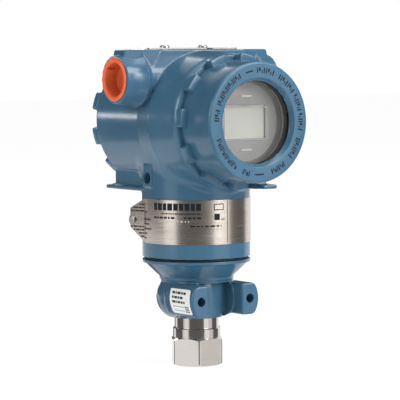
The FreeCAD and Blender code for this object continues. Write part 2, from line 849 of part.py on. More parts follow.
def nameplate():
    """Steel band round the neck, open at the back, with a flat trimmed tab that takes one screw."""
    inner = s.neck_radius.value
    outer = (s.neck_radius + s.plate_thickness).value
    low = plate_bottom.value
    tall = s.plate_height.value
    gap = 0.02
    up = Vector(0, 0, 1)
    ring = Part.makeCylinder(outer, tall, up * low, up, math.degrees(PLATE_END_ANGLE - TAB_ANGLE))
    ring = ring.cut(Part.makeCylinder(inner + gap, tall, Vector(0, 0, low)))
    ring.rotate(Vector(0, 0, 0), Vector(0, 0, 1), math.degrees(TAB_ANGLE))
    root, along, facing = tab_frame()
    length = s.plate_tab_length.value
    trim = s.plate_tab_trim.value
    foot = root - facing * (outer - inner - gap) + up * low - along * 0.3
    corners = [
        foot,
        foot + along * length + up * trim * 1.5,
        foot + along * length + up * (tall - trim),
        foot + up * tall]
    tab = Part.Face(Part.makePolygon(corners + [corners[0]])).extrude(facing * (outer - inner - gap))
    hole_spot = root + along * (length - 2.2) + up * (low + tall / 2) + facing
    tab = tab.cut(Part.makeCylinder(1.3, 4, hole_spot, -facing))
    tab = tab.cut(Part.makeCylinder(inner + gap, tall, Vector(0, 0, low)))
    item = doc.addObject("Part::Feature", "Nameplate")
    item.Shape = ring.fuse(tab).removeSplitter()
    keep(item, "nameplate")
    screw_foot = root + along * (length - 2.2) + up * (low + tall / 2)
    head = Part.makeCylinder(2.3, 1.3, screw_foot + facing * 0.02, facing)
    head = head.makeFillet(0.6, [edge for edge in head.Edges if is_rim(edge, screw_foot, facing, 1)])
    shank = Part.makeCylinder(1.2, 6.5, screw_foot + facing * 0.1, -facing)
    screw = doc.addObject("Part::Feature", "NameplateScrew")
    screw.Shape = head.fuse(shank)
    keep(screw, "nameplate_screw")


def is_rim(edge, origin, direction, height):
    """True for a round edge that lies further than a height along a direction."""
    if not isinstance(edge.Curve, Part.Circle):
        return False
    return (edge.Curve.Center - origin).dot(direction) > height


housing()
nameplate()


def cap_screw(name, x, y, z, turn, length):
    """Headless socket screw that starts at a point and runs along its turn."""
    shank = cylinder(name + "Shank", s.lock_screw_radius, length, x=x, y=y, z=z, turn=turn)
    socket = doc.addObject("Part::Prism", name + "Socket")
    socket.Polygon = 6
    bind(socket, "Circumradius", s.lock_screw_radius * 0.55)
    bind(socket, "Height", 1.2)
    place(socket, x, y, z, turn)
    return cut(name, shank, [socket])


def small_screws():
    """Cover lock screws and the screw that holds the housing's turn."""
    spots = lock_spots()
    screws = [cap_screw(name + "Lock", spot[0], spot[1], spot[2], UPRIGHT, s.shelf_thickness + 0.6)
              for name, spot in spots.items()]
    keep(screws[0], "rear_cover_lock_screw")
    keep(screws[1], "front_cover_lock_screw")
    clamp = cap_screw("RotationScrew", 0, s.neck_radius - 0.5, clamp_height, AGAINST_Y,
                      s.neck_radius - s.header_radius - 0.8)
    keep(clamp, "rotation_set_screw")


def add_lugs(body, name, phase, front):
    """Cut the notches between the lugs: one pocket, repeated round the barrel's axis."""
    side = -1 if front else 1
    half_notch = 180 / s.lug_count * s.lug_share
    start = s.collar_front if front else s.barrel_rear
    outline = []
    for reach, swing in ((s.lug_root, -1), (s.lug_radius + 2, -1), (s.lug_radius + 2, 1), (s.lug_root, 1)):
        angle = math.radians(180 - phase.value + swing * half_notch.value)
        text = "(180 - %s + %d * %s)" % (phase.text, swing, half_notch.text)
        across = reach * Size(math.cos(angle), "cos(%s)" % text)
        upward = reach * Size(math.sin(angle), "sin(%s)" % text)
        outline.append((across, upward))
    sketch = body_sketch(body, "XZ_Plane", name + "NotchOutline", outline, {3: -s.lug_root}, start * -side)
    pocket = body.newObject("PartDesign::Pocket", name + "Notch")
    pocket.Profile = sketch
    pocket.Reversed = front
    bind(pocket, "Length", s.lug_thickness)
    pattern = body.newObject("PartDesign::PolarPattern", name + "Notches")
    pattern.Originals = [pocket]
    axis = [item for item in body.Origin.OriginFeatures if item.Role == "Y_Axis"][0]
    pattern.Axis = (axis, [""])
    pattern.Angle = 360
    bind(pattern, "Occurrences", s.lug_count)
    body.Tip = pattern


def cover_seal(name, start, label):
    """O-ring in the groove next to the lug ring."""
    radius = s.bore_radius - s.ring_section - 0.1
    keep(torus(name, radius, s.ring_section, y=start, z=barrel_axis, turn=ALONG_Y), label)


def front_cover():
    """Display cover: lug ring, threaded spigot and barrel with a round window in its face."""
    groove = s.bore_radius - s.ring_section * 2 - 0.2
    back = -s.collar_front
    body = turned("FrontCover", "XY_Plane", [
        (s.cover_bore, back + s.spigot_cover_length),
        (s.cover_bore, -glass_back + 1.6),
        (s.glass_radius + 0.1, -glass_back + 1.6),
        (s.glass_radius + 0.1, -seat_face),
        (s.window_seat_radius, -seat_face),
        (s.window_seat_radius, -seat_face - 0.4),
        (s.window_radius, -cover_face),
        (s.cover_radius - s.cover_edge, -cover_face),
        (s.cover_radius, -cover_face + s.cover_edge),
        (s.cover_radius, -lug_front - 0.6),
        (s.cover_radius + 0.6, -lug_front),
        (s.lug_radius - 0.5, -lug_front),
        (s.lug_radius, -lug_front + 0.5),
        (s.lug_radius, back),
        (groove, back),
        (groove, back + s.ring_groove_width),
        (s.spigot_cover_radius, back + s.ring_groove_width),
        (s.spigot_cover_radius, back + s.spigot_cover_length)],
        {7: s.cover_edge, 9: size(-0.6)})
    add_lugs(body, "FrontCover", s.front_lug_phase, True)
    place(body, z=barrel_axis)
    keep(body, "front_cover")
    cover_seal("FrontSeal", back + s.ring_groove_width / 2, "front_cover_seal")


def window_parts():
    """Gasket, thick glass and the ring that holds them in the display cover."""
    centre = barrel_axis
    face = cylinder("GasketDisc", s.glass_radius, s.gasket_thickness, y=-seat_face, z=centre, turn=ALONG_Y)
    hole = cylinder("GasketHole", s.window_seat_radius, s.gasket_thickness + 2, y=-seat_face - 1, z=centre,
                    turn=ALONG_Y)
    keep(cut("Gasket", face, [hole]), "window_gasket")
    keep(cylinder("Glass", s.glass_radius, s.glass_thickness, y=-glass_front, z=centre, turn=ALONG_Y),
         "window_glass")
    disc = cylinder("RetainerDisc", s.glass_radius, s.retainer_thickness, y=-glass_back, z=centre,
                    turn=ALONG_Y)
    ring_hole = cylinder("RetainerHole", s.window_seat_radius, s.retainer_thickness + 2, y=-glass_back - 1,
                         z=centre, turn=ALONG_Y)
    keep(cut("Retainer", disc, [ring_hole]), "glass_retaining_ring")


def rear_cover():
    """Blind cover: lug ring, threaded spigot and a closed, slightly raised face."""
    groove = s.bore_radius - s.ring_section * 2 - 0.2
    front = s.barrel_rear
    lug_back = front + s.lug_thickness
    face = lug_back + s.cover_wall
    body = turned("RearCover", "XY_Plane", [
        (0, face),
        (0, lug_back - s.cover_wall),
        (s.cover_bore, lug_back - s.cover_wall),
        (s.cover_bore, front - s.spigot_cover_length),
        (s.spigot_cover_radius, front - s.spigot_cover_length),
        (s.spigot_cover_radius, front - s.ring_groove_width),
        (groove, front - s.ring_groove_width),
        (groove, front),
        (s.lug_radius - 0.6, front),
        (s.lug_radius - 0.6, lug_back - 0.5),
        (s.lug_radius - 1.1, lug_back),
        (s.lug_root - 0.2, lug_back),
        (s.lug_root - 2.4, face)])
    add_lugs(body, "RearCover", s.rear_lug_phase, False)
    place(body, z=barrel_axis)
    keep(body, "rear_cover")
    cover_seal("RearSeal", front - s.ring_groove_width / 2, "rear_cover_seal")


small_screws()
front_cover()
window_parts()
rear_cover()


def display():
    """Round display module: bezel cup with a window, panel behind it, board and its posts."""
    centre = barrel_axis
    cup = cylinder("BezelCup", s.bezel_radius, s.bezel_depth, y=-bezel_front, z=centre, turn=ALONG_Y)
    hollow = cylinder("BezelHollow", s.bezel_radius - s.bezel_wall, s.bezel_depth,
                      y=-bezel_front + s.bezel_wall, z=centre, turn=ALONG_Y)
    half_width = s.lcd_width / 2
    half_height = s.lcd_height / 2
    window = box("BezelWindow", (-half_width, -bezel_front - 1, centre - half_height),
                 (half_width, -bezel_front + s.bezel_wall + 1, centre + half_height))
    keep(cut("Bezel", cup, [hollow, window]), "display_bezel")
    border = s.lcd_border
    panel_front = -bezel_front + s.bezel_wall
    panel = box("Panel", (-half_width - border, panel_front, centre - half_height - border),
                (half_width + border, panel_front + s.lcd_thickness, centre + half_height + border))
    keep(panel, "lcd_panel")
    holder_back = -bezel_back
    holder = box("PanelHolder", (-half_width, panel_front + s.lcd_thickness, centre - half_height),
                 (half_width, holder_back, centre + half_height))
    keep(holder, "lcd_backlight")
    board = cylinder("DisplayBoard", s.bezel_radius - 0.3, s.board_thickness, y=-bezel_back, z=centre,
                     turn=ALONG_Y)
    keep(board, "display_board")
    posts = []
    for index in range(int(s.post_count.value)):
        angle = math.radians(45 + index * 360 / s.post_count.value)
        posts.append(cylinder("Post%d" % index, s.post_radius, display_board_back - main_board_front,
                              x=s.post_circle * math.cos(angle), y=-display_board_back,
                              z=centre + s.post_circle * math.sin(angle), turn=ALONG_Y))
    keep(fuse("Posts", posts), "display_standoffs")


def electronics():
    """Potted carrier on the partition, the main board on it and the flat cable from the sensor."""
    centre = barrel_axis
    carrier_radius = s.cover_bore - s.carrier_clearance
    carrier = cylinder("Carrier", carrier_radius, s.carrier_depth, y=-carrier_front, z=centre, turn=ALONG_Y)
    keep(carrier, "electronics_carrier")
    board = cylinder("MainBoard", s.board_radius, s.board_thickness, y=-main_board_front, z=centre,
                     turn=ALONG_Y)
    keep(board, "main_board")
    half = s.ribbon_width / 2
    thick = s.ribbon_thickness
    bend = neck_ceiling - 3
    start = recess_floor + s.connector_height + 0.3
    back = -s.passage_offset
    top = centre - carrier_radius
    up = box("RibbonUp", (-half, -thick / 2, start), (half, thick / 2, bend + thick))
    across = box("RibbonAcross", (-half, back - thick / 2, bend), (half, thick / 2, bend + thick))
    rise = box("RibbonRise", (-half, back - thick / 2, bend), (half, back + thick / 2, top))
    keep(fuse("Ribbon", [up, across, rise]), "sensor_ribbon")


def terminal_side():
    """Terminal block on the partition with its screws, and the earth screw beside it."""
    centre = barrel_axis - s.terminal_drop
    foot = -s.partition_rear
    front = foot + s.terminal_depth
    drum = cylinder("TerminalDrum", s.terminal_radius, s.terminal_depth, y=foot, z=centre, turn=ALONG_Y)
    pockets = []
    screws = []
    middle = (s.terminal_count.value - 1) / 2
    for index in range(int(s.terminal_count.value)):
        x = s.terminal_pitch * (index - middle)
        half = s.terminal_screw_head + 1.0
        seat = front - s.terminal_pocket
        pockets.append(box("TerminalPocket%d" % index, (x - half, seat, centre - half - 1.5),
                           (x + half, front + 1, centre + half + 1.5)))
        head = cylinder("TerminalHead%d" % index, s.terminal_screw_head, s.terminal_head_height, x=x, y=seat,
                        z=centre, turn=ALONG_Y)
        slot_floor = seat + s.terminal_head_height / 2
        slot = box("TerminalSlot%d" % index, (x - s.terminal_screw_head - 1, slot_floor, centre - 0.5),
                   (x + s.terminal_screw_head + 1, front - 1, centre + 0.5))
        screws.append(cut("TerminalScrew%d" % index, head, [slot]))
    keep(cut("TerminalBlock", drum, pockets), "terminal_block")
    keep(fuse("TerminalScrews", screws), "terminal_screws")
    earth = barrel_axis - s.earth_drop
    post = cylinder("EarthPost", s.earth_post_radius, s.earth_post_length, y=foot, z=earth, turn=ALONG_Y)
    head = cylinder("EarthHead", s.earth_head_radius, s.earth_head_height, y=foot + s.earth_post_length,
                    z=earth, turn=ALONG_Y)
    keep(fuse("EarthScrew", [post, head]), "internal_ground_screw")


def tag_plate():
    """Steel plate over the two buttons; it swings on its left screw and is open round the right one."""
    half = s.tag_length / 2
    wide = s.tag_width / 2
    corner = s.tag_corner
    low = s.tag_offset - wide
    high = s.tag_offset + wide
    outline = [
        (-half + corner, low), (half - corner, low), (half, low + corner), (half, high - corner),
        (half - corner, high), (-half + corner, high), (-half, high - corner), (-half, low + corner)]
    bulges = {1: corner, 3: corner, 5: corner, 7: corner}
    plate = padded("TagBlank", "XY_Plane", outline, flat_top, s.tag_thickness, bulges)
    shank = s.tag_screw_radius + s.tag_slot_clearance
    pivot = s.tag_screw_spacing / 2
    hole = cylinder("TagPivotHole", shank, s.tag_thickness + 2, x=-pivot, y=s.tag_offset, z=flat_top - 1)
    outer = cylinder("TagSlotOuter", s.tag_screw_spacing + shank, s.tag_thickness + 2, x=-pivot,
                     y=s.tag_offset, z=flat_top - 1)
    inner = cylinder("TagSlotInner", s.tag_screw_spacing - shank, s.tag_thickness + 4, x=-pivot,
                     y=s.tag_offset, z=flat_top - 2)
    ring = cut("TagSlotRing", outer, [inner])
    side = box("TagSlotSide", (0, low - 2, flat_top - 1),
               (half, s.tag_offset, flat_top + s.tag_thickness + 1))
    slot_end = cylinder("TagSlotEnd", shank, s.tag_thickness + 2, x=pivot, y=s.tag_offset, z=flat_top - 1)
    slot = fuse("TagSlot", [common("TagSlotArc", ring, side), slot_end])
    keep(cut("TagPlate", plate, [hole, slot]), "tag_plate")
    for side_sign, name in ((-1, "left"), (1, "right")):
        x = pivot * side_sign
        top = flat_top + s.tag_thickness
        head = turned("TagHead" + name, "XZ_Plane", [
            (0, top + 0.02),
            (s.tag_head_radius, top + 0.02),
            (s.tag_head_radius, top + s.tag_head_height * 0.5),
            (s.tag_head_radius - 0.9, top + s.tag_head_height),
            (0, top + s.tag_head_height)],
            {2: size(1.2)})
        place(head, x=x, y=s.tag_offset)
        shaft = cylinder("TagShank" + name, s.tag_screw_radius, s.tag_thickness + 4.6, x=x, y=s.tag_offset,
                         z=flat_top - 4.5)
        reach = s.tag_head_radius + 1
        head_top = top + s.tag_head_height
        slit = box("TagSlit" + name, (x - reach, s.tag_offset - 0.4, head_top - 0.8),
                   (x + reach, s.tag_offset + 0.4, head_top + 1))
        keep(cut("TagScrew" + name, fuse("TagScrewBlank" + name, [head, shaft]), [slit]), "tag_screw_" + name)


def buttons():
    """Two sprung plungers under the tag plate."""
    floor = flat_top - s.button_hole_depth
    top = flat_top - s.button_below_top
    foot = floor + s.button_travel + 1.8
    for side, label in ((1, "zero_button"), (-1, "span_button")):
        x = s.button_spacing / 2 * side
        stem = cylinder(label + "Stem", s.button_radius, top - foot, x=x, y=s.tag_offset, z=foot)
        dimple = cylinder(label + "Dimple", s.button_radius * 0.45, 1, x=x, y=s.tag_offset, z=top - 0.6)
        keep(cut(label + "Cap", stem, [dimple]), label)


def conduit_plugs():
    """Moulded plugs: flanged cup with a grip web across its mouth."""
    reach = s.conduit_reach
    for side, name in ((-1, "left"), (1, "right")):
        turn = ALONG_X if side < 0 else AGAINST_X
        rim = cylinder("PlugRim" + name, s.plug_rim_radius, s.plug_rim_thickness,
                       x=(reach + s.plug_rim_thickness) * side, y=s.conduit_offset, z=conduit_axis, turn=turn)
        stem = cylinder("PlugStem" + name, s.conduit_bore - s.plug_fit, s.plug_length + 0.5,
                        x=(reach + 0.5) * side, y=s.conduit_offset, z=conduit_axis, turn=turn)
        inner = s.conduit_bore - s.plug_fit - s.plug_wall
        hollow = cylinder("PlugHollow" + name, inner,
                          s.plug_length + s.plug_rim_thickness - s.plug_floor + 1,
                          x=(reach + s.plug_rim_thickness + 1) * side, y=s.conduit_offset, z=conduit_axis,
                          turn=turn)
        cup = cut("PlugCup" + name, fuse("PlugBlank" + name, [rim, stem]), [hollow])
        inside = (reach - s.plug_length + s.plug_floor / 2) * side
        outside = (reach - 1.6) * side
        low, high = (inside, outside) if side > 0 else (outside, inside)
        grip = box("PlugGrip" + name, (low, s.conduit_offset - s.plug_grip / 2, conduit_axis - inner - 0.3),
                   (high, s.conduit_offset + s.plug_grip / 2, conduit_axis + inner + 0.3))
        keep(fuse("Plug" + name, [cup, grip]), "conduit_plug_" + name)


display()
electronics()
terminal_side()
tag_plate()
buttons()
conduit_plugs()


def check_all():
    """Stop where an object has failed or a finished sub-part has no sound shape."""
    doc.recompute()
    for item in doc.Objects:
        if "Invalid" in item.State or "Error" in item.State:
            raise RuntimeError("%s failed: %s" % (item.Label, item.State))
    for item in parts:
        if item.Shape.isNull() or not item.Shape.isValid():
            raise RuntimeError("%s has no sound shape" % item.Label)


def write_all():
    """Write each finished sub-part to a file named after it."""
    os.makedirs("parts", exist_ok=True)
    for item in parts:
        item.Shape.exportStep("parts/%s.step" % item.Label)
        box_of = item.Shape.BoundBox
        print("%-26s %d solids %9.0f mm3  x %.1f %.1f  y %.1f %.1f  z %.1f %.1f" % (
            item.Label, len(item.Shape.Solids), item.Shape.Volume, box_of.XMin, box_of.XMax, box_of.YMin,
            box_of.YMax, box_of.ZMin, box_of.ZMax))


check_all()
write_all()
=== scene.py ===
import math

import bmesh
import bpy
import numpy as np
import openvdb
from mathutils import Matrix, Vector


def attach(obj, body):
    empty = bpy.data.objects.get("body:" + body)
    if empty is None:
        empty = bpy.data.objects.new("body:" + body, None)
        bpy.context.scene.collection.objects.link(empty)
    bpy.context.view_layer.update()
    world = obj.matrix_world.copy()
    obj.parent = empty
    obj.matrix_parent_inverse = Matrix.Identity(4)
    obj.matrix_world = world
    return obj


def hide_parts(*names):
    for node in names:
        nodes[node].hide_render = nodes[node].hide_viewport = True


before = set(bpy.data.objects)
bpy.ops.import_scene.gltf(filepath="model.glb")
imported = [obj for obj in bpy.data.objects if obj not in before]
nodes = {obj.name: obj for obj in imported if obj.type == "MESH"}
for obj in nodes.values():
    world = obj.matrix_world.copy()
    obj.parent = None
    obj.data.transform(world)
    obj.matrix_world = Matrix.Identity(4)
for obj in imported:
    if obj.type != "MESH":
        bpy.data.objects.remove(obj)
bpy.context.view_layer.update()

# Lengths in this file are millimetres until a mesh is made; these repeat the model's own places.
MM = 0.001
AXIS = 137.5
FLAT_TOP = 177.2
NECK_FOOT = 61.5
NECK_RADIUS = 30.35
CONDUIT_Y = 3.3
CONDUIT_Z = 160.7
CONDUIT_REACH = 51.5
BARREL_FRONT = -34.3
BARREL_REAR = 45.7
BORE = 31.6
# The nameplate lies on the neck, and its flat tab leaves it at this angle.
PLATE_RADIUS = NECK_RADIUS + 0.35
TAB_TURN = math.radians(165)
TAB_LEAN = math.radians(17)
TAB_ROOT = (PLATE_RADIUS * math.cos(TAB_TURN), PLATE_RADIUS * math.sin(TAB_TURN))
TAB_ALONG = (-math.sin(TAB_LEAN), math.cos(TAB_LEAN))
TAB_FACING = (-math.cos(TAB_LEAN), -math.sin(TAB_LEAN))
# Left ear of the sensor module: how far out its bulge reaches, its radius, half height and middle.
EAR_REACH = 19.9
EAR_BULGE = 14.7
EAR_MIDDLE = 38.3
EAR_CENTRE = EAR_REACH - math.sqrt(EAR_BULGE ** 2 - 8.9 ** 2)
# Angles in degrees on the display cover's face, from +X towards +Z: (first, last, number of ticks)
RING_GROUPS = [(70, 92, 8), (36, 60, 9), (13, 30, 7), (-9, 8, 7), (-42, -20, 9), (-72, -54, 8),
               (-112, -104, 4), (-162, -124, 15), (166, 177, 5), (117, 159, 16)]
RING_DASHES = [(98, 108), (-96, -84)]
# Studio, in metres and degrees.
LAMP_AIM = (0, 0, 0.11)
CARD_STEP = 2
NEAR_RADIUS, NEAR_TOP = 0.105, 0.03
RING_RADIUS, RING_TOP = 0.21, 0.13
DOME_RADIUS, DOME_HEIGHT = 1.1, 0.137
FAN_REACH = 0.088


def linear(red, green, blue):
    """A colour given in display values 0 to 255, as the linear colour that shaders take."""
    channels = []
    for value in (red, green, blue):
        share = value / 255
        channels.append(share / 12.92 if share <= 0.04045 else ((share + 0.055) / 1.055) ** 2.4)
    return (*channels, 1)


class Nodes:
    """Short forms for building a node tree."""

    def __init__(self, tree):
        self.tree = tree

    def node(self, kind, **values):
        made = self.tree.nodes.new(kind)
        if "operation" in values:
            made.operation = values.pop("operation")
        self.fill(made, values)
        return made

    def fill(self, node, values):
        for key, value in values.items():
            node.inputs[key.replace("_", " ")].default_value = value

    def link(self, source, target):
        self.tree.links.new(source, target)

    def seen_share(self):
        """1 for what the camera sees directly, in a reflection or through glass, and 0 for light."""
        path = self.node("ShaderNodeLightPath")
        share = path.outputs["Is Camera Ray"]
        for kind in ("Is Glossy Ray", "Is Transmission Ray"):
            either = self.node("ShaderNodeMath", operation="MAXIMUM")
            self.link(share, either.inputs[0])
            self.link(path.outputs[kind], either.inputs[1])
            share = either.outputs["Value"]
        return share

    def mix_out(self, share, first, second, output):
        """Mix two shaders by a share and put the result out."""
        mix = self.node("ShaderNodeMixShader")
        self.link(share, mix.inputs["Fac"])
        self.link(first, mix.inputs[1])
        self.link(second, mix.inputs[2])
        self.link(mix.outputs["Shader"], output.inputs["Surface"])


class Shader(Nodes):
    """One procedural material."""

    def __init__(self, name):
        self.material = bpy.data.materials.new(name)
        self.material.use_nodes = True
        super().__init__(self.material.node_tree)
        self.surface = self.tree.nodes["Principled BSDF"]
        self.output = self.tree.nodes["Material Output"]

    def set(self, **values):
        self.fill(self.surface, values)

    def place(self, stretch=(1, 1, 1)):
        """Object coordinates, scaled, for the textures."""
        mapping = self.node("ShaderNodeMapping", Scale=stretch)
        self.link(self.node("ShaderNodeTexCoord").outputs["Object"], mapping.inputs["Vector"])
        return mapping.outputs["Vector"]

    def noise(self, scale, detail=2.0, where=None):
        made = self.node("ShaderNodeTexNoise", Scale=scale, Detail=detail, Roughness=0.5)
        self.link(where or self.place(), made.inputs["Vector"])
        return made.outputs["Fac"]

    def colour(self, factor, stops):
        made = self.node("ShaderNodeValToRGB")
        ramp = made.color_ramp
        while len(ramp.elements) < len(stops):
            ramp.elements.new(0.5)
        for element, (spot, colour) in zip(ramp.elements, stops):
            element.position = spot
            element.color = linear(*colour)
        self.link(factor, made.inputs["Fac"])
        self.link(made.outputs["Color"], self.surface.inputs["Base Color"])

    def rough(self, factor, low, high):
        made = self.node("ShaderNodeMapRange", To_Min=low, To_Max=high)
        self.link(factor, made.inputs["Value"])
        self.link(made.outputs["Result"], self.surface.inputs["Roughness"])

    def bump(self, height, strength, distance, under=None):
        made = self.node("ShaderNodeBump", Strength=strength, Distance=distance)
        self.link(height, made.inputs["Height"])
        if under is not None:
            self.link(under, made.inputs["Normal"])
        self.link(made.outputs["Normal"], self.surface.inputs["Normal"])
        return made.outputs["Normal"]


def blue_paint():
    """Smooth glossy polyurethane coat over cast aluminium: faint mottling and fine orange peel."""
    paint = Shader("blue_paint")
    broad = paint.noise(28, 3)
    paint.colour(broad, [(0.3, (54, 89, 112)), (0.5, (58, 94, 118)), (0.72, (63, 99, 123))])
    peel = paint.bump(paint.noise(520, 2), 0.05, 0.0002)
    paint.bump(paint.noise(2600, 1), 0.05, 0.00005, peel)
    paint.rough(paint.noise(300, 2), 0.16, 0.24)
    return paint.material


def steel(name, dark, light, stretch, rough, bump, lines=3):
    """Bare metal with fine lines along one direction."""
    made = Shader(name)
    grain = made.noise(1.0, lines, made.place(stretch))
    made.colour(grain, [(0.25, dark), (0.75, light)])
    made.bump(grain, bump, 0.00006)
    made.rough(grain, *rough)
    made.set(Metallic=1.0)
    return made.material


def orange_plastic(name, dark, light):
    """Moulded polyethylene: bright, a little waxy, with light passing through its thin walls."""
    orange = Shader(name)
    cloud = orange.noise(90, 2)
    orange.colour(cloud, [(0.3, dark), (0.7, light)])
    orange.rough(cloud, 0.38, 0.5)
    orange.bump(orange.noise(1400, 2), 0.1, 0.0001)
    orange.set(Subsurface_Weight=0.08, Subsurface_Radius=(0.004, 0.0015, 0.0006))
    return orange.material


def clear_glass():
    glass = Shader("window_glass")
    glass.set(Base_Color=(1, 1, 1, 1), Roughness=0.02, IOR=1.46, Transmission_Weight=1.0)
    return glass.material


def matt(name, dark, light, rough=(0.45, 0.6), scale=900, strength=0.1, sheen=0.5):
    """Moulded plastic, rubber, film or laminate with a fine grain."""
    made = Shader(name)
    made.set(Specular_IOR_Level=sheen)
    grain = made.noise(scale, 2)
    made.colour(grain, [(0.3, dark), (0.7, light)])
    made.rough(grain, *rough)
    made.bump(grain, strength, 0.0001)
    return made.material


def give(material, *names):
    """Give CAD nodes a material."""
    for name in names:
        mesh = nodes[name].data
        mesh.materials.clear()
        mesh.materials.append(material)


PAINT = blue_paint()
STEEL = steel("turned_steel", (206, 200, 194), (218, 213, 208), (120, 120, 14000), (0.1, 0.16), 0.03)
PLATE = steel("plate_steel", (192, 182, 173), (226, 216, 207), (60, 60, 5200), (0.2, 0.3), 0.25, 4)
SCREW = steel("screw_steel", (170, 166, 160), (206, 202, 196), (500, 500, 500), (0.24, 0.38), 0.1)
RUBBER = matt("rubber", (20, 20, 22), (32, 32, 34), (0.5, 0.7), 1800, 0.2)
ORANGE = orange_plastic("orange_plastic", (226, 90, 44), (234, 100, 52))
# darker copy of the orange plastic for the plug's recess: painted shade
ORANGE_PAINTED_SHADE = orange_plastic("orange_recess_painted_shade", (190, 78, 36), (200, 86, 42))
GLASS = clear_glass()
BEZEL = matt("bezel_grey", (140, 140, 139), (150, 150, 148), (0.5, 0.65), 1500, 0.15)
GROUND = matt("ground_edge", (104, 102, 100), (116, 114, 112), (0.6, 0.8), 1500, 0.15)
LCD = matt("lcd_face", (190, 191, 181), (196, 196, 187), (0.25, 0.35), 2200, 0.12)
BOARD = matt("board_green", (24, 72, 44), (30, 84, 52))
BLACK = matt("black_plastic", (26, 26, 28), (36, 36, 38))
LABEL = matt("label_film", (226, 226, 222), (236, 236, 232))
AMBER = matt("cable_film", (150, 92, 30), (168, 108, 40))
# black print on the plates and the label; on the display cover's ring the same colour is painted shade of
# raised cast lettering
INK_AND_PAINTED_SHADE = matt("black_print_and_painted_shade", (14, 20, 28), (24, 32, 42), (0.6, 0.75), 1200, 0.05, 0.2)
BEZEL_DARK = matt("bezel_shade", (128, 127, 124), (136, 135, 132), (0.5, 0.65), 1500)
RIM = matt("display_rim", (176, 176, 170), (186, 186, 180), (0.4, 0.55), 1500)
PALE = matt("pale_print", (196, 194, 188), (206, 204, 198), (0.4, 0.55), 1200, 0.05)


def link_object(name, data):
    made = bpy.data.objects.new(name, data)
    bpy.context.scene.collection.objects.link(made)
    return made


def add_object(name, mesh, material, body, node=None):
    """Link a mesh as a piece that rides on a body, and stands for a CAD node where one is named."""
    piece = link_object(name, mesh)
    mesh.materials.clear()
    mesh.materials.append(material)
    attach(piece, body)
    if node:
        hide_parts(node)


def mesh_from(name, points, faces, sharp=35):
    """A smooth-shaded mesh from points in millimetres, with edges kept sharp above an angle."""
    mesh = bpy.data.meshes.new(name)
    mesh.from_pydata([tuple(float(part) * MM for part in point) for point in points], [],
                     [tuple(int(corner) for corner in face) for face in faces])
    finish_mesh(mesh, sharp)
    return mesh


def face_outward(mesh, join=False):
    """Turn all faces outward, with points that lie on each other joined if asked."""
    edit = bmesh.new()
    edit.from_mesh(mesh)
    if join:
        bmesh.ops.remove_doubles(edit, verts=edit.verts, dist=1e-6)
    bmesh.ops.recalc_face_normals(edit, faces=edit.faces)
    edit.to_mesh(mesh)
    edit.free()


def finish_mesh(mesh, sharp=35):
    mesh.validate()
    face_outward(mesh, True)
    mesh.shade_smooth()
    mesh.set_sharp_from_angle(angle=math.radians(sharp))
    mesh.update()


def about_barrel(turn, along, radius):
    """Point at an angle round the barrel's axis."""
    return radius * math.cos(turn), along, AXIS + radius * math.sin(turn)


def about_neck(turn, along, radius):
    """Point at an angle round the neck's axis."""
    return radius * math.cos(turn), radius * math.sin(turn), along


def circle(sides):
    """Columns all round, at the full height of the profile."""
    return [(360 * index / sides, 1.0) for index in range(sides)]


def turned(name, columns, profile_at, place, sharp=42):
    """A closed solid turned about an axis, whose profile may change from column to column.

    Each column is an angle and a height for the profile. A profile closes on itself, unless it starts
    on the axis.
    """
    rings = [[place(math.radians(angle), *spot) for spot in profile_at(height)]
             for angle, height in columns]
    rows = len(rings[0])
    on_axis = profile_at(1.0)[0][1] == 0
    faces = []
    for column in range(len(rings)):
        here = column * rows
        after = (column + 1) % len(rings) * rows
        for row in range(rows - 1 if on_axis else rows):
            under = (row + 1) % rows
            faces.append((here + row, after + row, after + under, here + under))
    return mesh_from(name, [spot for ring in rings for spot in ring], faces, sharp)


def strips(name, runs, sharp=30):
    """A mesh of closed bars, each run a list of sections with four corners."""
    points = []
    faces = []
    for sections in runs:
        for step, section in enumerate(sections):
            here = len(points)
            if step:
                faces += [(here + row - 4, here + row, here + (row + 1) % 4, here + (row + 1) % 4 - 4)
                          for row in range(4)]
            if step in (0, len(sections) - 1):
                faces.append(range(here, here + 4))
            points += section
    return mesh_from(name, points, faces, sharp)


def mesh_boolean(base, tools, operation="DIFFERENCE"):
    """Cut or join closed meshes one after the other, and give the result as a new mesh."""
    body = link_object("boolean_base", base)
    helpers = [link_object("boolean_tool", tool) for tool in tools]
    for helper in helpers:
        step = body.modifiers.new("step", "BOOLEAN")
        step.operation = operation
        step.solver = "MANIFOLD"
        step.object = helper
    graph = bpy.context.evaluated_depsgraph_get()
    made = bpy.data.meshes.new_from_object(body.evaluated_get(graph))
    for item in helpers + [body]:
        bpy.data.objects.remove(item)
    return made


def bar(radius, start, end, sides=96):
    """A closed cylinder between two points, for cutting."""
    start = Vector(start) * MM
    end = Vector(end) * MM
    edit = bmesh.new()
    turn = (end - start).to_track_quat("Z", "Y").to_matrix().to_4x4()
    bmesh.ops.create_cone(edit, cap_ends=True, segments=sides, radius1=radius * MM, radius2=radius * MM,
                          depth=(end - start).length, matrix=Matrix.Translation((start + end) / 2) @ turn)
    mesh = bpy.data.meshes.new("bar")
    edit.to_mesh(mesh)
    edit.free()
    return mesh


def round_union(first, second, radius):
    """Distance to two joined forms with a fillet where they meet."""
    one = np.maximum(radius - first, 0)
    two = np.maximum(radius - second, 0)
    return np.maximum(radius, np.minimum(first, second)) - np.hypot(one, two)


def round_common(first, second, radius):
    """Distance to what two forms share, with a rounded edge where they cross."""
    one = np.maximum(radius + first, 0)
    two = np.maximum(radius + second, 0)
    return np.minimum(-radius, np.maximum(first, second)) + np.hypot(one, two)


def ease(share):
    share = np.clip(share, 0, 1)
    return share * share * (3 - 2 * share)


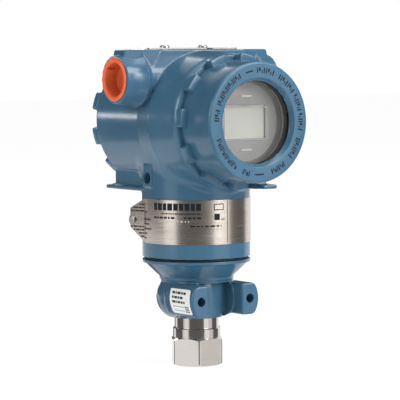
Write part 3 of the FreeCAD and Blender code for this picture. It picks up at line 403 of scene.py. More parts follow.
def block(x, y, z, low, high, edge):
    """Distance to a box with rounded edges."""
    outside = 0
    inside = -1e3
    for value, start, end in zip((x, y, z), low, high):
        reach = np.abs(value - (start + end) / 2) - (end - start) / 2 + edge
        outside = outside + np.maximum(reach, 0) ** 2
        inside = np.maximum(inside, reach)
    return np.sqrt(outside) + np.minimum(inside, 0) - edge


def plane(x, y, z, spot, facing):
    """Distance in front of a plane through a spot."""
    length = math.sqrt(sum(part * part for part in facing))
    return sum((value - start) * part / length for value, start, part in zip((x, y, z), spot, facing))


def barrel_form(x, y, z):
    """Barrel that swells towards the display, with a step at the drafted collar and an eased front end."""
    swell = 1.3 * np.clip((4 - y) / 13, 0, 1)
    collar = 0.5 * ease((-8.4 - y) / 1.1)
    draft = -1.3 * np.clip((-10 - y) / 20, 0, 1)
    front = -1.4 * np.clip((-29.8 - y) / 4.5, 0, 1) ** 2
    side = np.hypot(x, z - AXIS) - (37 + swell + collar + draft + front)
    barrel = round_common(side, BARREL_FRONT - y, 0.5)
    return round_common(barrel, y - BARREL_REAR, 0.9)


def saddle_form(x, y, z):
    """Flat-topped saddle with sloped sides, and the two wedges that reach out over the entries."""
    across = np.abs(x)
    edge = 1.1
    small = 0.45
    side = round_common(plane(across, y, z, (28, 0, FLAT_TOP), (14.8, 0, 8.5)), across - 36.5, 1.0)
    saddle = round_common(side, np.maximum(-8 - y, y - 24), small)
    saddle = round_common(saddle, z - FLAT_TOP, edge)
    saddle = np.maximum(saddle, plane(across, y, z, (36.5, 0, 151), (1, 0, -0.28)))
    saddle = np.maximum(saddle, 137 - z)
    wing = round_common(plane(across, y, z, (28, -8, FLAT_TOP), (0.277, -0.9485, 0.154)),
                        plane(across, y, z, (48.2, 0, FLAT_TOP), (14.8, 0, 3.1)), small)
    wing = round_common(wing, plane(across, y, z, (28, 24, FLAT_TOP), (0.5987, 0.7906, 0.1282)), small)
    wing = round_common(wing, z - FLAT_TOP, edge)
    wing = np.maximum(wing, 162.4 - z)
    wing = np.maximum(wing, np.maximum(24 - across, -8 - y))
    return np.minimum(saddle, wing)


def entry_form(x, y, z):
    """The two conduit entries, each widening in a long flare to the crisp rim of its root."""
    around = np.hypot(y - CONDUIT_Y, z - CONDUIT_Z)
    across = np.abs(x)
    flare = 13.3 + 2.1 * np.clip((49.0 - across) / 10.7, 0, 1) ** 2.4
    tube = (around - flare) * 0.95
    tube = round_common(tube, np.maximum(across - CONDUIT_REACH, 38.3 - across), 0.35)
    root = (around - 15.4 + (38.4 - across) * 0.9) * 0.74
    root = np.maximum(np.maximum(root, across - 38.7), 35.5 - across)
    core = np.maximum(around - 13.0, across - 40)
    return np.minimum(np.minimum(tube, root), core)


def shelf_form(x, y, z):
    """Shelf under the rear of the barrel: web, plate, bead and the two lock tabs."""
    bottom = AXIS - 39.5
    web = block(x, y, z, (-24.5, 0, bottom), (24.5, 45.5, 121), 0.8)
    plate = block(x, y, z, (-26.8, 0, bottom), (26.8, 45.6, bottom + 2.3), 0.7)
    bead = block(x, y, z, (-26.0, 0, 109.7), (26.0, 45.5, 111.9), 0.7)
    tab = block(x, y, z, (-26.8, 36, bottom), (-17.3, 51.9, bottom + 2.3), 0.8)
    form = round_union(web, plate, 0.9)
    form = round_union(form, bead, 0.6)
    form = np.minimum(form, tab)
    front = block(x, y, z, (17.3, -40.4, bottom + 1.8), (26.8, -24, bottom + 4.1), 0.8)
    rib = block(x, y, z, (17.3, -33, bottom + 1.8), (24.8, -24, bottom + 12), 0.8)
    return np.minimum(form, round_union(front, rib, 1.0))


def housing_form(x, y, z):
    """The whole housing casting before it is machined."""
    neck = np.hypot(x, y) - NECK_RADIUS
    neck = round_common(neck, np.maximum(NECK_FOOT - z, z - 124), 0.45)
    form = round_union(barrel_form(x, y, z), neck, 4.5)
    form = round_union(form, shelf_form(x, y, z), 1.3)
    top = round_union(saddle_form(x, y, z), entry_form(x, y, z), 0.6)
    form = round_union(form, top, 0.8)
    pad = block(x, y, z, (-31.5, -2.1, 100.9), (-15, 6.5, 113.7), 0.7)
    form = round_union(form, pad, 0.6)
    # boss behind the nameplate's tab
    spot = [root + run * 8.3 - out * 0.4 for root, run, out in zip(TAB_ROOT, TAB_ALONG, TAB_FACING)]
    deep = (x - spot[0]) * TAB_FACING[0] + (y - spot[1]) * TAB_FACING[1]
    side = (x - spot[0]) * TAB_ALONG[0] + (y - spot[1]) * TAB_ALONG[1]
    boss = np.hypot(side, z - 82.1) - 3.6
    boss = round_common(boss, np.maximum(deep, -12 - deep), 0.5)
    form = round_union(form, boss, 1.0)
    return round_common(form, z - FLAT_TOP, 0.3)


def casting_form(x, y, z):
    """Sensor module: flared rim, waist and bulb with two bracket ears, open for the cell inside."""
    around = np.hypot(x, y)
    # bulb: an outline that bulges between its foot and the waist
    middle = 37.6
    bulge = 12.5
    foot_radius, waist_radius = 15.2, 19.6
    foot, waist = 27.0, 46.6
    chord = math.hypot(waist_radius - foot_radius, waist - foot)
    sag = math.sqrt(bulge * bulge - chord * chord / 4)
    centre_radius = (foot_radius + waist_radius) / 2 - sag * (waist - foot) / chord
    centre_height = (foot + waist) / 2 + sag * (waist_radius - foot_radius) / chord
    bulb = np.hypot(around - centre_radius, z - centre_height) - bulge
    bulb = np.minimum(bulb, np.maximum(around - centre_radius, np.abs(z - centre_height) - 9))
    bulb = round_common(bulb, 27.0 - z, 0.8)
    stem = np.maximum(around - waist_radius, np.abs(z - 48) - 6)
    form = round_union(bulb, stem, 1.6)
    rise = np.clip((z - 50.2) / 8.4, 0, 1)
    flare_radius = waist_radius + 0.9 + (NECK_RADIUS - waist_radius - 1.8) * rise ** 0.94
    flare = np.maximum((around - flare_radius) * 0.62, np.maximum(49 - z, z - 59.4))
    rim = round_common(around - NECK_RADIUS, np.maximum(58.3 - z, z - 60.1), 0.35)
    form = round_union(form, flare, 2.2)
    form = round_union(form, rim, 0.5)
    # ears
    across = np.abs(x)
    ear_bottom, ear_top = 29.4, 47.2
    ear = round_common(np.hypot(across - EAR_CENTRE, z - EAR_MIDDLE) - EAR_BULGE, 11.2 - across, 0.8)
    ear = round_common(ear, np.maximum(ear_bottom - z, z - ear_top), 1.6)
    ear = round_common(ear, np.maximum(-28.3 - y, y + 2), 1.4)
    gap = np.maximum(np.maximum(across - 11.2, y + 8), np.abs(z - 36.9) - 10.3)
    post = around - (14.7 + 0.9 * np.clip(1 - ((z - 37) / 11) ** 2, 0, 1))
    form = np.maximum(form, -np.maximum(gap, -post))
    form = round_union(form, ear, 2.0)
    hollow = np.maximum(around - 17.4, np.abs(z - 57.2) - 7.0)
    hollow = np.minimum(hollow, around - 10.5)
    hollow = np.minimum(hollow, np.maximum(around - 24.6, 57.6 - z))
    return np.maximum(form, -hollow)


def cast_mesh(name, form, low, high, step):
    """Mesh a distance field, and move each point onto the exact surface."""
    axes = [np.arange(start, end + step, step, dtype=np.float64) for start, end in zip(low, high)]
    x, y, z = np.meshgrid(*axes, indexing="ij", sparse=True)
    limit = 4 * step
    field = np.clip(form(x, y, z), -limit, limit).astype(np.float32)
    grid = openvdb.FloatGrid(limit)
    grid.copyFromArray(np.ascontiguousarray(field))
    points, quads = grid.convertToQuads(isovalue=0.0)
    spots = points.astype(np.float64) * step + np.array(low)
    reach = 0.02
    for _ in range(4):
        here = form(*spots.T)
        slope = rises(form, spots, reach) / (2 * reach)
        length = np.maximum((slope ** 2).sum(axis=1), 0.2)
        move = slope * (here / length)[:, None]
        far = np.linalg.norm(move, axis=1, keepdims=True)
        spots -= move * np.minimum(1, 0.5 * step / np.maximum(far, 1e-9))
    mesh = bpy.data.meshes.new(name)
    mesh.from_pydata((spots * MM).tolist(), [], quads.tolist())
    mesh.validate()
    face_outward(mesh)
    return mesh


def rises(form, places, reach):
    """How much a distance field rises across each place, along each axis."""
    return np.array([form(*(places + step).T) - form(*(places - step).T) for step in np.eye(3) * reach]).T


def read(items, name, width=1, kind=np.float32):
    """One property of all items, a row to an item."""
    values = np.empty(len(items) * width, dtype=kind)
    items.foreach_get(name, values)
    return values.reshape(-1, width) if width > 1 else values


def field_normals(mesh, form):
    """Shade the cast faces by the slope of their own form, and leave the machined ones as they are."""
    mesh.shade_smooth()
    mesh.set_sharp_from_angle(angle=math.radians(38))
    own = read(mesh.corner_normals, "vector", 3)
    slope = rises(form, read(mesh.vertices, "co", 3).astype(np.float64) / MM, 0.12)
    slope /= np.maximum(np.linalg.norm(slope, axis=1, keepdims=True), 1e-9)
    middles = read(mesh.polygons, "center", 3).astype(np.float64) / MM
    cast = np.abs(form(*middles.T)) < 0.15
    smooth = slope[read(mesh.loops, "vertex_index", 1, np.int32)]
    agree = (smooth * own).sum(axis=1) > 0.5
    use = np.repeat(cast, read(mesh.polygons, "loop_total", 1, np.int32)) & agree
    mesh.normals_split_custom_set(np.where(use[:, None], smooth, own).tolist())


def housing_piece():
    """The housing casting with its bores and holes machined into it."""
    mesh = cast_mesh("housing_cast", housing_form, (-54, -43, 59.5), (54, 54, 180), 0.85)
    bores = [
        bar(BORE, (0, -40, AXIS), (0, -12, AXIS), 160),
        bar(BORE, (0, -8, AXIS), (0, 60, AXIS), 160),
        bar(24.0, (0, 0, 55), (0, 0, 92), 128),
        bar(5.6, (0, -20, 91), (0, -20, 112), 40),
        bar(3.2, (-34, 2.2, 106), (-23.5, 2.2, 106), 32),
        bar(1.53, (0, 23, 65.65), (0, 34, 65.65), 20),
        bar(1.53, (-22.05, 48.6, 96), (-22.05, 48.6, 102), 20),
        bar(1.53, (22.05, -37.2, 98), (22.05, -37.2, 104), 20)]
    for side in (-1, 1):
        bores.append(bar(10.2, (60 * side, CONDUIT_Y, CONDUIT_Z), (8 * side, CONDUIT_Y, CONDUIT_Z), 96))
        bores.append(bar(3.3, (21 * side, 11, 167.6), (21 * side, 11, 180), 32))
        bores.append(bar(1.53, (13 * side, 11, 172.2), (13 * side, 11, 180), 20))
    mesh = mesh_boolean(mesh, bores)
    field_normals(mesh, housing_form)
    add_object("housing_casting", mesh, PAINT, "housing", "housing")


def casting_piece():
    """The sensor module casting with its bracket holes drilled."""
    mesh = cast_mesh("module_cast", casting_form, (-33, -31, 25.5), (33, 33, 62), 0.5)
    holes = [bar(2.6, (16.6 * side, -31, 38.5), (16.6 * side, -16.3, 38.5), 40) for side in (-1, 1)]
    mesh = mesh_boolean(mesh, holes)
    field_normals(mesh, casting_form)
    add_object("module_casting", mesh, PAINT, "module", "sensor_module_casting")


def arc_points(centre, radius, start, end, count):
    """Points on an arc of a profile, its angles in degrees."""
    spots = []
    for step in range(count + 1):
        angle = math.radians(start + (end - start) * step / count)
        spots.append((centre[0] + radius * math.cos(angle), centre[1] + radius * math.sin(angle)))
    return spots


def lug_columns(count, phase, share, reach):
    """Angles round a lug ring, each with how far the lug stands up there, from 0 in a notch to 1.

    The walls of a lug are drafted and rounded over a little less than 2 mm.
    """
    wall = [(-0.9, 0.0), (-0.45, 0.03), (-0.2, 0.16), (0.0, 0.45), (0.18, 0.78), (0.42, 0.93), (0.8, 0.985),
            (1.3, 1.0)]
    half_notch = 180 / count * share
    columns = []
    for index in range(count):
        middle = phase + index * 360 / count
        edge = middle + half_notch
        lug = 360 / count - 2 * half_notch
        columns += [(middle - half_notch - math.degrees(spot / reach), height)
                    for spot, height in reversed(wall)]
        columns += [(middle + part * half_notch, 0.0) for part in (-0.6, -0.2, 0.2, 0.6)]
        columns += [(edge + math.degrees(spot / reach), height) for spot, height in wall]
        columns += [(edge + part * lug, 1.0) for part in (0.3, 0.5, 0.7)]
    return columns


def front_cover_profile(height):
    """Closed section of the display cover at one angle."""
    root = 33.5
    lug = root + 3.9 * height
    back = BARREL_FRONT
    ring = -39.5 + 0.45 * (1 - height)
    spots = [(-24.5, 27.6), (-47.4, 27.6), (-47.4, 25.8), (-56.4, 25.8), (-56.4, 22.6), (-56.9, 22.6)]
    spots += [(-57.1, 22.75), (-59.35, 24.1)]
    spots += [(-59.49, 24.25), (-59.55, 24.5), (-59.55, 31.3)]
    spots += arc_points((-58.15, 31.4), 1.4, 180, 90, 6)[1:]
    spots += [(-50, 33.05), (-40.3, 33.35), (-39.85, 33.4), (ring, min(33.45, lug))]
    edge = 0.55 * height + 0.05
    spots += [(ring, max(33.4, lug - edge)), (ring + edge * 0.3, lug - edge * 0.3), (ring + edge, lug)]
    spots += [(back - 0.35, lug), (back, lug - 0.35)]
    spots += [(back, 29.3), (back + 2.4, 29.3), (back + 2.4, 31.1), (-24.5, 31.1)]
    return spots


def thread_ridge(name, start, length, pitch, root, crest, place, sink=-0.12):
    """A helical ridge on a spigot or in a bore, sunk a little into it and tapered at both ends."""
    turns = length / pitch
    count = int(turns * 72)
    half = pitch * 0.36
    sections = []
    for index in range(count + 1):
        share = index / count
        fade = min(1.0, share * turns * 3, (1 - share) * turns * 3)
        top = root + (crest - root) * fade
        outline = ((-half, root + sink), (-half * 0.2, top), (half * 0.2, top), (half, root + sink))
        sections.append([place(2 * math.pi * turns * share, start + length * share + shift, radius)
                         for shift, radius in outline])
    return strips(name, [sections])


def cover_piece(name, body, phase, lug_reach, profile_at, thread_start):
    """A screwed cover with eleven lugs, and the thread on its spigot."""
    columns = lug_columns(11, phase, 0.5, lug_reach)
    add_object(name, turned(name, columns, profile_at, about_barrel), PAINT, body, body)
    name += "_thread"
    thread = thread_ridge(name, thread_start, 6.2, 2.0, 31.05, 31.5, about_barrel)
    add_object(name, thread, PAINT, body)


def rear_cover_profile(height):
    """Section of the blind cover at one angle, from its axis out and back to the axis."""
    root = 33.3
    lug = root + 3.5 * height
    front = BARREL_REAR
    ring = front + 5.2 - 0.45 * (1 - height)
    edge = 0.5 * height + 0.05
    spots = [(53.1, 0.0), (53.1, 20.0), (53.1, 30.5), (52.95, 31.0), (52.5, 31.5), (51.35, 33.0)]
    spots += [(50.98, 33.2)]
    spots += [(ring, max(33.25, lug - edge)), (ring - edge * 0.3, lug - edge * 0.3), (ring - edge, lug)]
    spots += [(front + 0.8, lug), (front + 0.25, lug - 0.3), (front, lug - 0.9)]
    spots += [(front, 29.3), (front - 2.4, 29.3), (front - 2.4, 31.1), (35.9, 31.1), (35.9, 27.6)]
    spots += [(48.7, 27.6), (48.7, 0.0)]
    return spots


def port_thread():
    """Thread inside the process connection's port."""
    thread = thread_ridge("port_thread", 1.6, 13.4, 1.8, 9.6, 9.1, about_neck, 0.12)
    add_object("process_port_thread", thread, STEEL, "module")


def connection_piece():
    """Process connection: a hexagon with eased corners, two turned steps, a spigot and the drilled port."""
    flat, ease_radius, height, shoulder = 13.7, 1.1, 15.6, 13.4
    reach = (flat - ease_radius) / math.cos(math.pi / 6)
    centres = [(reach * math.cos(math.pi / 3 * k), reach * math.sin(math.pi / 3 * k)) for k in range(6)]
    ring = []
    for k, centre in enumerate(centres):
        ring += arc_points(centre, ease_radius, 60 * k - 30, 60 * k + 30, 8)
    count = len(ring)
    points = [(x, y, z) for z in (0, height) for x, y in ring]
    faces = [range(count), range(count, 2 * count)]
    faces += [(k, (k + 1) % count, count + (k + 1) % count, count + k) for k in range(count)]
    mesh = mesh_from("hexagon", points, faces)
    cone, steps, port = [turned(name, circle(120), lambda _: profile, about_neck, 35) for name, profile in (
        ("chamfers", [(0, 0), (0, 13.5), (1.2, 15.8), (height - 1.2, 15.8), (height, 13.5), (height, 0)]),
        ("steps", [(8, 0), (8, shoulder), (20.7, shoulder), (21.1, 13.0), (21.1, 12.5), (27, 12.5),
                   (27, 10.4), (33, 10.4), (33, 0)]),
        ("port", [(-1, 0), (-1, 11.5), (0.9, 9.6), (16, 9.6), (19.7, 3.2), (34, 3.2), (34, 0)]))]
    for tool, operation in ((cone, "INTERSECT"), (steps, "UNION"), (port, "DIFFERENCE")):
        mesh = mesh_boolean(mesh, [tool], operation)
    finish_mesh(mesh)
    # flat sides, eased corners and turned faces each get their exact slope
    normals = []
    for face in mesh.polygons:
        normal = face.normal
        side = round((math.degrees(math.atan2(normal.y, normal.x)) - 30) / 60) * 60 + 30
        flank = Vector(about_neck(math.radians(side), 0, 1))
        for corner in face.vertices:
            x, y, _ = mesh.vertices[corner].co / MM
            if abs(normal.z) < 0.05 and math.hypot(x, y) > shoulder + 0.02:
                near = min(centres, key=lambda centre: math.dist(centre, (x, y)))
                eased = Vector((x - near[0], y - near[1], 0)).normalized()
                normals.append(flank if normal.dot(flank) > 0.9995 else eased)
            else:
                outward = Vector((x, y, 0)).normalized()
                level = math.copysign(math.sqrt(max(0, 1 - normal.z ** 2)), normal.dot(outward))
                normals.append(outward * level + Vector((0, 0, normal.z)))
    mesh.normals_split_custom_set(normals)
    add_object("process_connection_turned", mesh, STEEL, "module", "process_connection")


def plug_piece(side, node, body):
    """Moulded conduit plug: a rim, a tapered cup and a slot in the cup's wall for a tool."""
    profile = [(44.6, 0.0), (44.6, 7.7), (44.9, 8.05), (51.5, 9.2), (52.2, 9.75), (52.36, 10.1),
               (52.4, 10.4), (52.4, 11.2), (52.3, 11.5), (52.05, 11.75), (51.75, 11.8), (51.55, 11.6),
               (51.5, 11.3), (51.5, 10.02), (50.9, 9.95), (39.2, 9.85), (38.5, 9.3), (38.5, 0.0)]

    def place(turn, along, radius):
        return side * along, CONDUIT_Y + radius * math.cos(turn), CONDUIT_Z + radius * math.sin(turn)

    mesh = turned(node, circle(96), lambda _: profile, place, 35)
    x, y, z = side * 50.0, CONDUIT_Y + 5.4, CONDUIT_Z + 5.9
    slot = strips("slot", [[[(x + deep, y + across * 1.6, z + rise * 0.85) for across, rise in (
        (-1, -1), (1, -1), (1, 1), (-1, 1))] for deep in (-2.8, 2.8)]])
    mesh = mesh_boolean(mesh, [slot])
    finish_mesh(mesh)
    add_object(node + "_moulding", mesh, ORANGE, body, node)
    # the recess, without the rim and the tapered outside, takes a darker copy of the orange as painted
    # shade
    mesh.materials.append(ORANGE_PAINTED_SHADE)
    for face in mesh.polygons:
        middle = face.center / MM
        radius = math.hypot(middle.y - CONDUIT_Y, middle.z - CONDUIT_Z)
        if 44.3 < abs(middle.x) < 51.3 and radius < 9.4:
            face.material_index = 1


def grey_ring(name, body, profile):
    """A ring between the window and the display: the glass's ground edge, or the display's shroud."""
    mesh = turned(name, circle(144), lambda _: profile, about_barrel)
    add_object(name, mesh, GROUND, body)


def curved_marks(name, marks, widest, place, outline, material, body):
    """Thin prints that follow a round surface, each mark (first angle, last angle, low, high)."""
    runs = []
    for first, last, low, high in marks:
        steps = int(abs(last - first) / widest) + 1
        turns = [math.radians(first + (last - first) * step / steps) for step in range(steps + 1)]
        runs.append([[place(turn, *spot) for spot in outline(low, high)] for turn in turns])
    add_object(name, strips(name, runs), material, body)


def ring_marks():
    """Plain ticks and two dashes round the display cover's face, where such covers carry raised cast
    lettering; their near-black colour is painted shade of that relief.
    """
    inner, outer = 26.6, 29.6
    front, back = -59.6, -59.52
    middle = (inner + outer) / 2
    marks = []
    for first, last, count in RING_GROUPS:
        for index in range(count):
            angle = first + (last - first) * index / (count - 1)
            half = (0.8, 0.55, 1.05, 0.65)[index % 4]
            low = inner + (0, 0, 1.0, 0)[index % 4]
            high = outer - (0, 1.2, 0, 0)[index % 4]
            marks.append((angle - half, angle + half, low, high))
    marks += [(first, last, middle - 0.4, middle + 0.4) for first, last in RING_DASHES]
    curved_marks("cover_ring_marks", marks, 2.5, about_barrel, lambda low, high: (
        (front, low), (front, high), (back, high), (back, low)), INK_AND_PAINTED_SHADE, "front_cover")


def plate_marks(name, marks, material, lift=0.03):
    """Thin prints on the nameplate."""
    outer = PLATE_RADIUS + lift
    inner = outer - 0.12
    curved_marks(name, marks, 3, about_neck, lambda low, high: (
        (low, outer), (high, outer), (high, inner), (low, inner)), material, "housing")


def words(first, last, low, high, lengths, gap):
    """A row of short bars that stands for a line of print, repeated from an angle to an angle."""
    marks = []
    angle = first
    while angle < last - 0.5:
        end = min(angle + lengths[len(marks) % len(lengths)], last)
        marks.append((angle, end, low, high))
        angle = end + gap
    return marks


def nameplate_prints():
    """Generic bars and rows on the steel band, where such plates carry their data."""
    # the bold line at the top, as plain upright blocks
    marks = words(-174, -120, 88.7, 92.6, (4.6, 5.2, 4.2, 5.6, 5.0), 1.3)
    marks += words(-164, -119.5, 86.6, 87.3, (2.2, 1.4, 3.0, 1.8), 0.8)
    marks += words(-174, -147, 84.1, 85.2, (3.4, 2.0, 4.2), 1.4)
    marks += words(-138, -119, 84.1, 85.2, (2.8, 4.0), 1.4)
    marks += words(-131, -98, 79.7, 80.6, (5.0, 3.0, 2.0, 4.4), 1.6)
    for height, reach in ((87.0, 9), (83.0, 16), (80.4, 12), (77.8, 17), (75.2, 8), (72.6, 7)):
        marks += words(-196, -196 + reach, height - 0.45, height + 0.45, (4.4, 3.0), 1.2)
    # plain square frame and dot in the upper right
    marks += [(-106.5, -95.5, 91.9, 92.4), (-106.5, -95.5, 88.9, 89.4), (-106.5, -105.6, 88.9, 92.4),
              (-96.4, -95.5, 88.9, 92.4), (-106.0, -100.0, 83.4, 86.9), (-98.5, -94.5, 83.6, 84.1)]
    plate_marks("nameplate_print", marks, INK_AND_PAINTED_SHADE)
    pale = words(-168, -132, 82.3, 82.9, (0.8, 2.2, 0.8), 2.6) + words(-158, -148, 79.8, 80.3, (0.8,), 3.2)
    plate_marks("nameplate_stamped", pale, PALE)
    plate_marks("nameplate_seam", [(-91.3, -90.7, 70.4, 94.0)], INK_AND_PAINTED_SHADE, 0.02)


def tab_prints():
    """Rows of short bars on the nameplate's folded tab, laid onto its outer face."""
    tab = nodes["nameplate"]
    inverse = tab.matrix_world.inverted()
    root, along, facing = [Vector((*pair, 0)) for pair in (TAB_ROOT, TAB_ALONG, TAB_FACING)]
    runs = []
    for row, (height, reach) in enumerate(((91.0, 6.8), (89.2, 9.4), (87.4, 9.6), (78.6, 9.6), (76.8, 9.0),
                                           (75.0, 6.4), (73.2, 3.8))):
        begin = 0.3
        index = row
        while begin < reach - 0.4:
            end = min(begin + (1.5, 0.9, 2.2, 1.2)[index % 4], reach)
            index += 1
            corners = []
            for side, rise in ((begin, 0.42), (end, 0.42), (end, -0.42), (begin, -0.42)):
                start = (root + along * side + facing * 20 + Vector((0, 0, height + rise))) * MM
                hit, place, _, _ = tab.ray_cast(inverse @ start, inverse.to_3x3() @ -facing)
                if hit:
                    corners.append(tab.matrix_world @ place / MM)
            if len(corners) == 4 and max((a - b).length for a, b in zip(corners, corners[1:])) < 3.5:
                runs.append([[corner + facing * lift for corner in corners] for lift in (0.04, -0.05)])
            begin = end + 0.55
    add_object("tab_print", strips("tab_print", runs), INK_AND_PAINTED_SHADE, "housing")


def label_outline():
    """Corners of the serial label on the ear, rounded, as places along Y and Z."""
    corners = [(-5.6, 45.0), (-25.0, 45.2), (-27.0, 31.5), (-8.2, 31.5)]
    corner_radius = 1.6
    count = 6
    outline = []
    for index in range(4):
        before, here, after = [Vector(corners[(index + shift) % 4]) for shift in (-1, 0, 1)]
        start = here + (before - here).normalized() * corner_radius
        end = here + (after - here).normalized() * corner_radius
        for step in range(count + 1):
            share = step / count
            spot = start * (1 - share) ** 2 + here * 2 * share * (1 - share) + end * share ** 2
            outline.append(tuple(spot))
    return outline


def ear_side(height, lift):
    """How far out the left ear's bulged side is at a height."""
    return -(EAR_CENTRE + math.sqrt((EAR_BULGE + lift) ** 2 - (height - EAR_MIDDLE) ** 2))


def serial_label():
    """White film label with rounded corners, curved over the ear, with rows of generic bars."""
    outline = label_outline()
    rows = 24
    low = min(spot[1] for spot in outline)
    high = max(spot[1] for spot in outline)
    sections = []
    for row in range(rows + 1):
        height = low + 0.005 + (high - low - 0.01) * (0.5 - 0.5 * math.cos(math.pi * row / rows))
        hits = []
        for start, end in zip(outline, outline[1:] + outline[:1]):
            if (start[1] - height) * (end[1] - height) <= 0 and start[1] != end[1]:
                hits.append(start[0] + (end[0] - start[0]) * (height - start[1]) / (end[1] - start[1]))
        front, rear = min(hits), max(hits)
        sections.append([(ear_side(height, lift), along, height) for lift, along in (
            (0.13, front), (0.13, rear), (-0.1, rear), (-0.1, front))])
    film = strips("serial_film", [sections], 50)
    add_object("serial_film", film, LABEL, "module", "serial_label")
    runs = []

    def mark(along, height, width, tall):
        """One printed bar, from its rear top corner towards the front; the rows lean with the label."""
        corners = []
        for up, run in ((0, 0), (0, -width), (-tall, -width), (-tall, 0)):
            corners.append((along + run + (height + up - EAR_MIDDLE) * 0.15, height + up))
        runs.append([[(ear_side(level, lift), place, level) for place, level in corners]
                     for lift in (0.16, 0.1)])

    patterns = ((2.4, 1.2, 3.0, 1.6, 2.2), (1.6, 2.6, 1.4, 2.8), (3.2, 1.0, 2.2, 1.8, 1.4))
    for row, pattern in enumerate(patterns):
        spot = -9.2
        for width in pattern:
            mark(spot, 43.6 - row * 2.5, width, 1.3)
            spot -= width + 0.6
    spot = -9.4
    for index in range(13):
        width = (0.35, 0.6, 0.3, 0.8)[index % 4]
        mark(spot, 35.6, width, 2.6)
        spot -= width + 0.32
    for run in (0, 1.3, 2.6):
        for up in (0, 1.3, 2.6):
            mark(-20.6 - run, 36.0 - up, 0.9, 0.9)
    add_object("serial_print", strips("serial_print", runs), INK_AND_PAINTED_SHADE, "module")


def slab_piece(name, boxes, material, edge=0.0):
    """Small boxes on the display as one mesh, each a low and a high corner, softened if asked."""
    edit = bmesh.new()
    for low, high in boxes:
        middle = [(start + end) / 2 * MM for start, end in zip(low, high)]
        reach = [(end - start) * MM for start, end in zip(low, high)]
        matrix = Matrix.Translation(middle) @ Matrix.Diagonal((*reach, 1))
        bmesh.ops.create_cube(edit, size=1, matrix=matrix)
    if edge:
        bmesh.ops.bevel(edit, geom=edit.edges[:], offset=edge * MM, segments=2, affect="EDGES", profile=0.6)
    mesh = bpy.data.meshes.new(name)
    edit.to_mesh(mesh)
    edit.free()
    finish_mesh(mesh)
    add_object(name, mesh, material, "housing")


def display_details():
    """Rim and frame line round the liquid crystal, two light slots and their indicator dots."""
    front = -44.0
    slots = [((-2.2, front - 0.06, low), (4.4, front + 0.1, low + 0.9)) for low in (151.1, 121.9)]
    dots = [((-4.6, front - 0.08, low), (-3.6, front + 0.1, high)) for low, high in (
        (151.2, 152.0), (121.6, 122.6))]
    rim = [((left, front - 0.04, low), (right, front + 0.5, high)) for left, right, low, high in (
        (-15.4, -14.7, 127.3, 145.9), (14.6, 15.9, 127.3, 145.9), (-15.4, 15.9, 145.2, 145.9),
        (-15.4, 15.9, 127.3, 128.0))]
    line = [((left, front - 0.05, low), (15.6, front + 0.1, high)) for left, low, high in (
        (-14.6, 146.9, 147.3), (-14.6, 127.3, 127.7), (15.2, 127.3, 147.3))]
    slab_piece("display_slots", slots, PALE, edge=0.03)
    slab_piece("display_dots", dots, ORANGE, 0.2)
    slab_piece("display_rim", rim, RIM, edge=0.02)
    slab_piece("display_frame_line", line, BEZEL_DARK)


def camera():
    """The photograph's viewpoint: from the left of the display, a little above, with a long lens."""
    azimuth = math.radians(-35.1)
    down = math.radians(3.91)
    roll = math.radians(0.365)
    distance = 1.2116
    aim = Vector((0, 0, 0.0923))
    right = Vector((math.cos(azimuth), math.sin(azimuth), 0))
    level = Vector((-math.sin(azimuth), math.cos(azimuth), 0))
    ahead = level * math.cos(down) - Vector((0, 0, 1)) * math.sin(down)
    up = right.cross(ahead)
    across = right * math.cos(roll) - up * math.sin(roll)
    upright = right * math.sin(roll) + up * math.cos(roll)
    data = bpy.data.cameras.new("camera")
    data.lens = 194.0
    data.sensor_width = 36
    data.shift_x = 0.01003
    data.shift_y = 0.00134
    data.clip_start = 0.05
    data.clip_end = 50
    made = link_object("camera", data)
    turn = Matrix((across, upright, -ahead)).transposed().to_4x4()
    made.matrix_world = Matrix.Translation(aim - ahead * distance) @ turn
    bpy.context.scene.camera = made


def around(azimuth, distance, height):
    turn = math.radians(azimuth)
    return Vector((distance * math.cos(turn), distance * math.sin(turn), height))


def lights():
    """Soft studio: a high key to the right of the camera, fills at both sides, one overhead, two behind."""
    for name, spot, wide, tall, power in (
            ("left_box", around(-178, 2.2, 0.9), 1.1, 1.1, 16),
            ("right_box", around(-78, 2.2, 0.78), 1.25, 0.9, 33),
            ("key_box", around(-50, 1.6, 1.45), 1.2, 0.95, 24),
            ("top_box", Vector((0.1, -0.2, 2.2)), 1.3, 1.3, 14),
            ("back_box", around(80, 1.9, 1.2), 0.9, 0.4, 4),
            ("low_strip", around(123, 2.2, 0.25), 0.33, 0.1, 1.4)):
        data = bpy.data.lights.new(name, "AREA")
        data.energy = power
        data.shape = "RECTANGLE"
        data.size = wide
        data.size_y = tall
        lamp = link_object(name, data)
        lamp.location = spot
        lamp.rotation_mode = "QUATERNION"
        lamp.rotation_quaternion = (Vector(LAMP_AIM) - spot).to_track_quat("-Z", "Y")


def card_mesh(name, patches, glow):
    """Cards that only reflections see, each patch a list of its corners."""
    points = []
    faces = []
    for corners in patches:
        faces.append(range(len(points), len(points) + len(corners)))
        points += corners
    mesh = bpy.data.meshes.new(name)
    mesh.from_pydata(points, [], faces)
    made = link_object(name, mesh)
    dark = Shader(name)
    dark.set(Base_Color=(0, 0, 0, 1), Roughness=1.0, Specular_IOR_Level=0.0,
             Emission_Color=(1, 0.98, 0.96, 1), Emission_Strength=glow)
    mesh.materials.append(dark.material)
    for sight in ("camera", "diffuse", "transmission", "shadow"):
        setattr(made, "visible_" + sight, False)


def among(azimuth, spans, height=0):
    """Whether a direction is in one of the spans: first, last and perhaps low, high, in degrees."""
    return any((azimuth - first) % 360 < last - first and (not band or band[0] <= height < band[1])
               for first, last, *band in spans)


def upright_card(azimuth, radius, low, high):
    """One upright patch of a ring of cards."""
    return [around(azimuth + turn, radius, height) for turn, height in (
        (0, low), (CARD_STEP, low), (CARD_STEP, high), (0, high))]


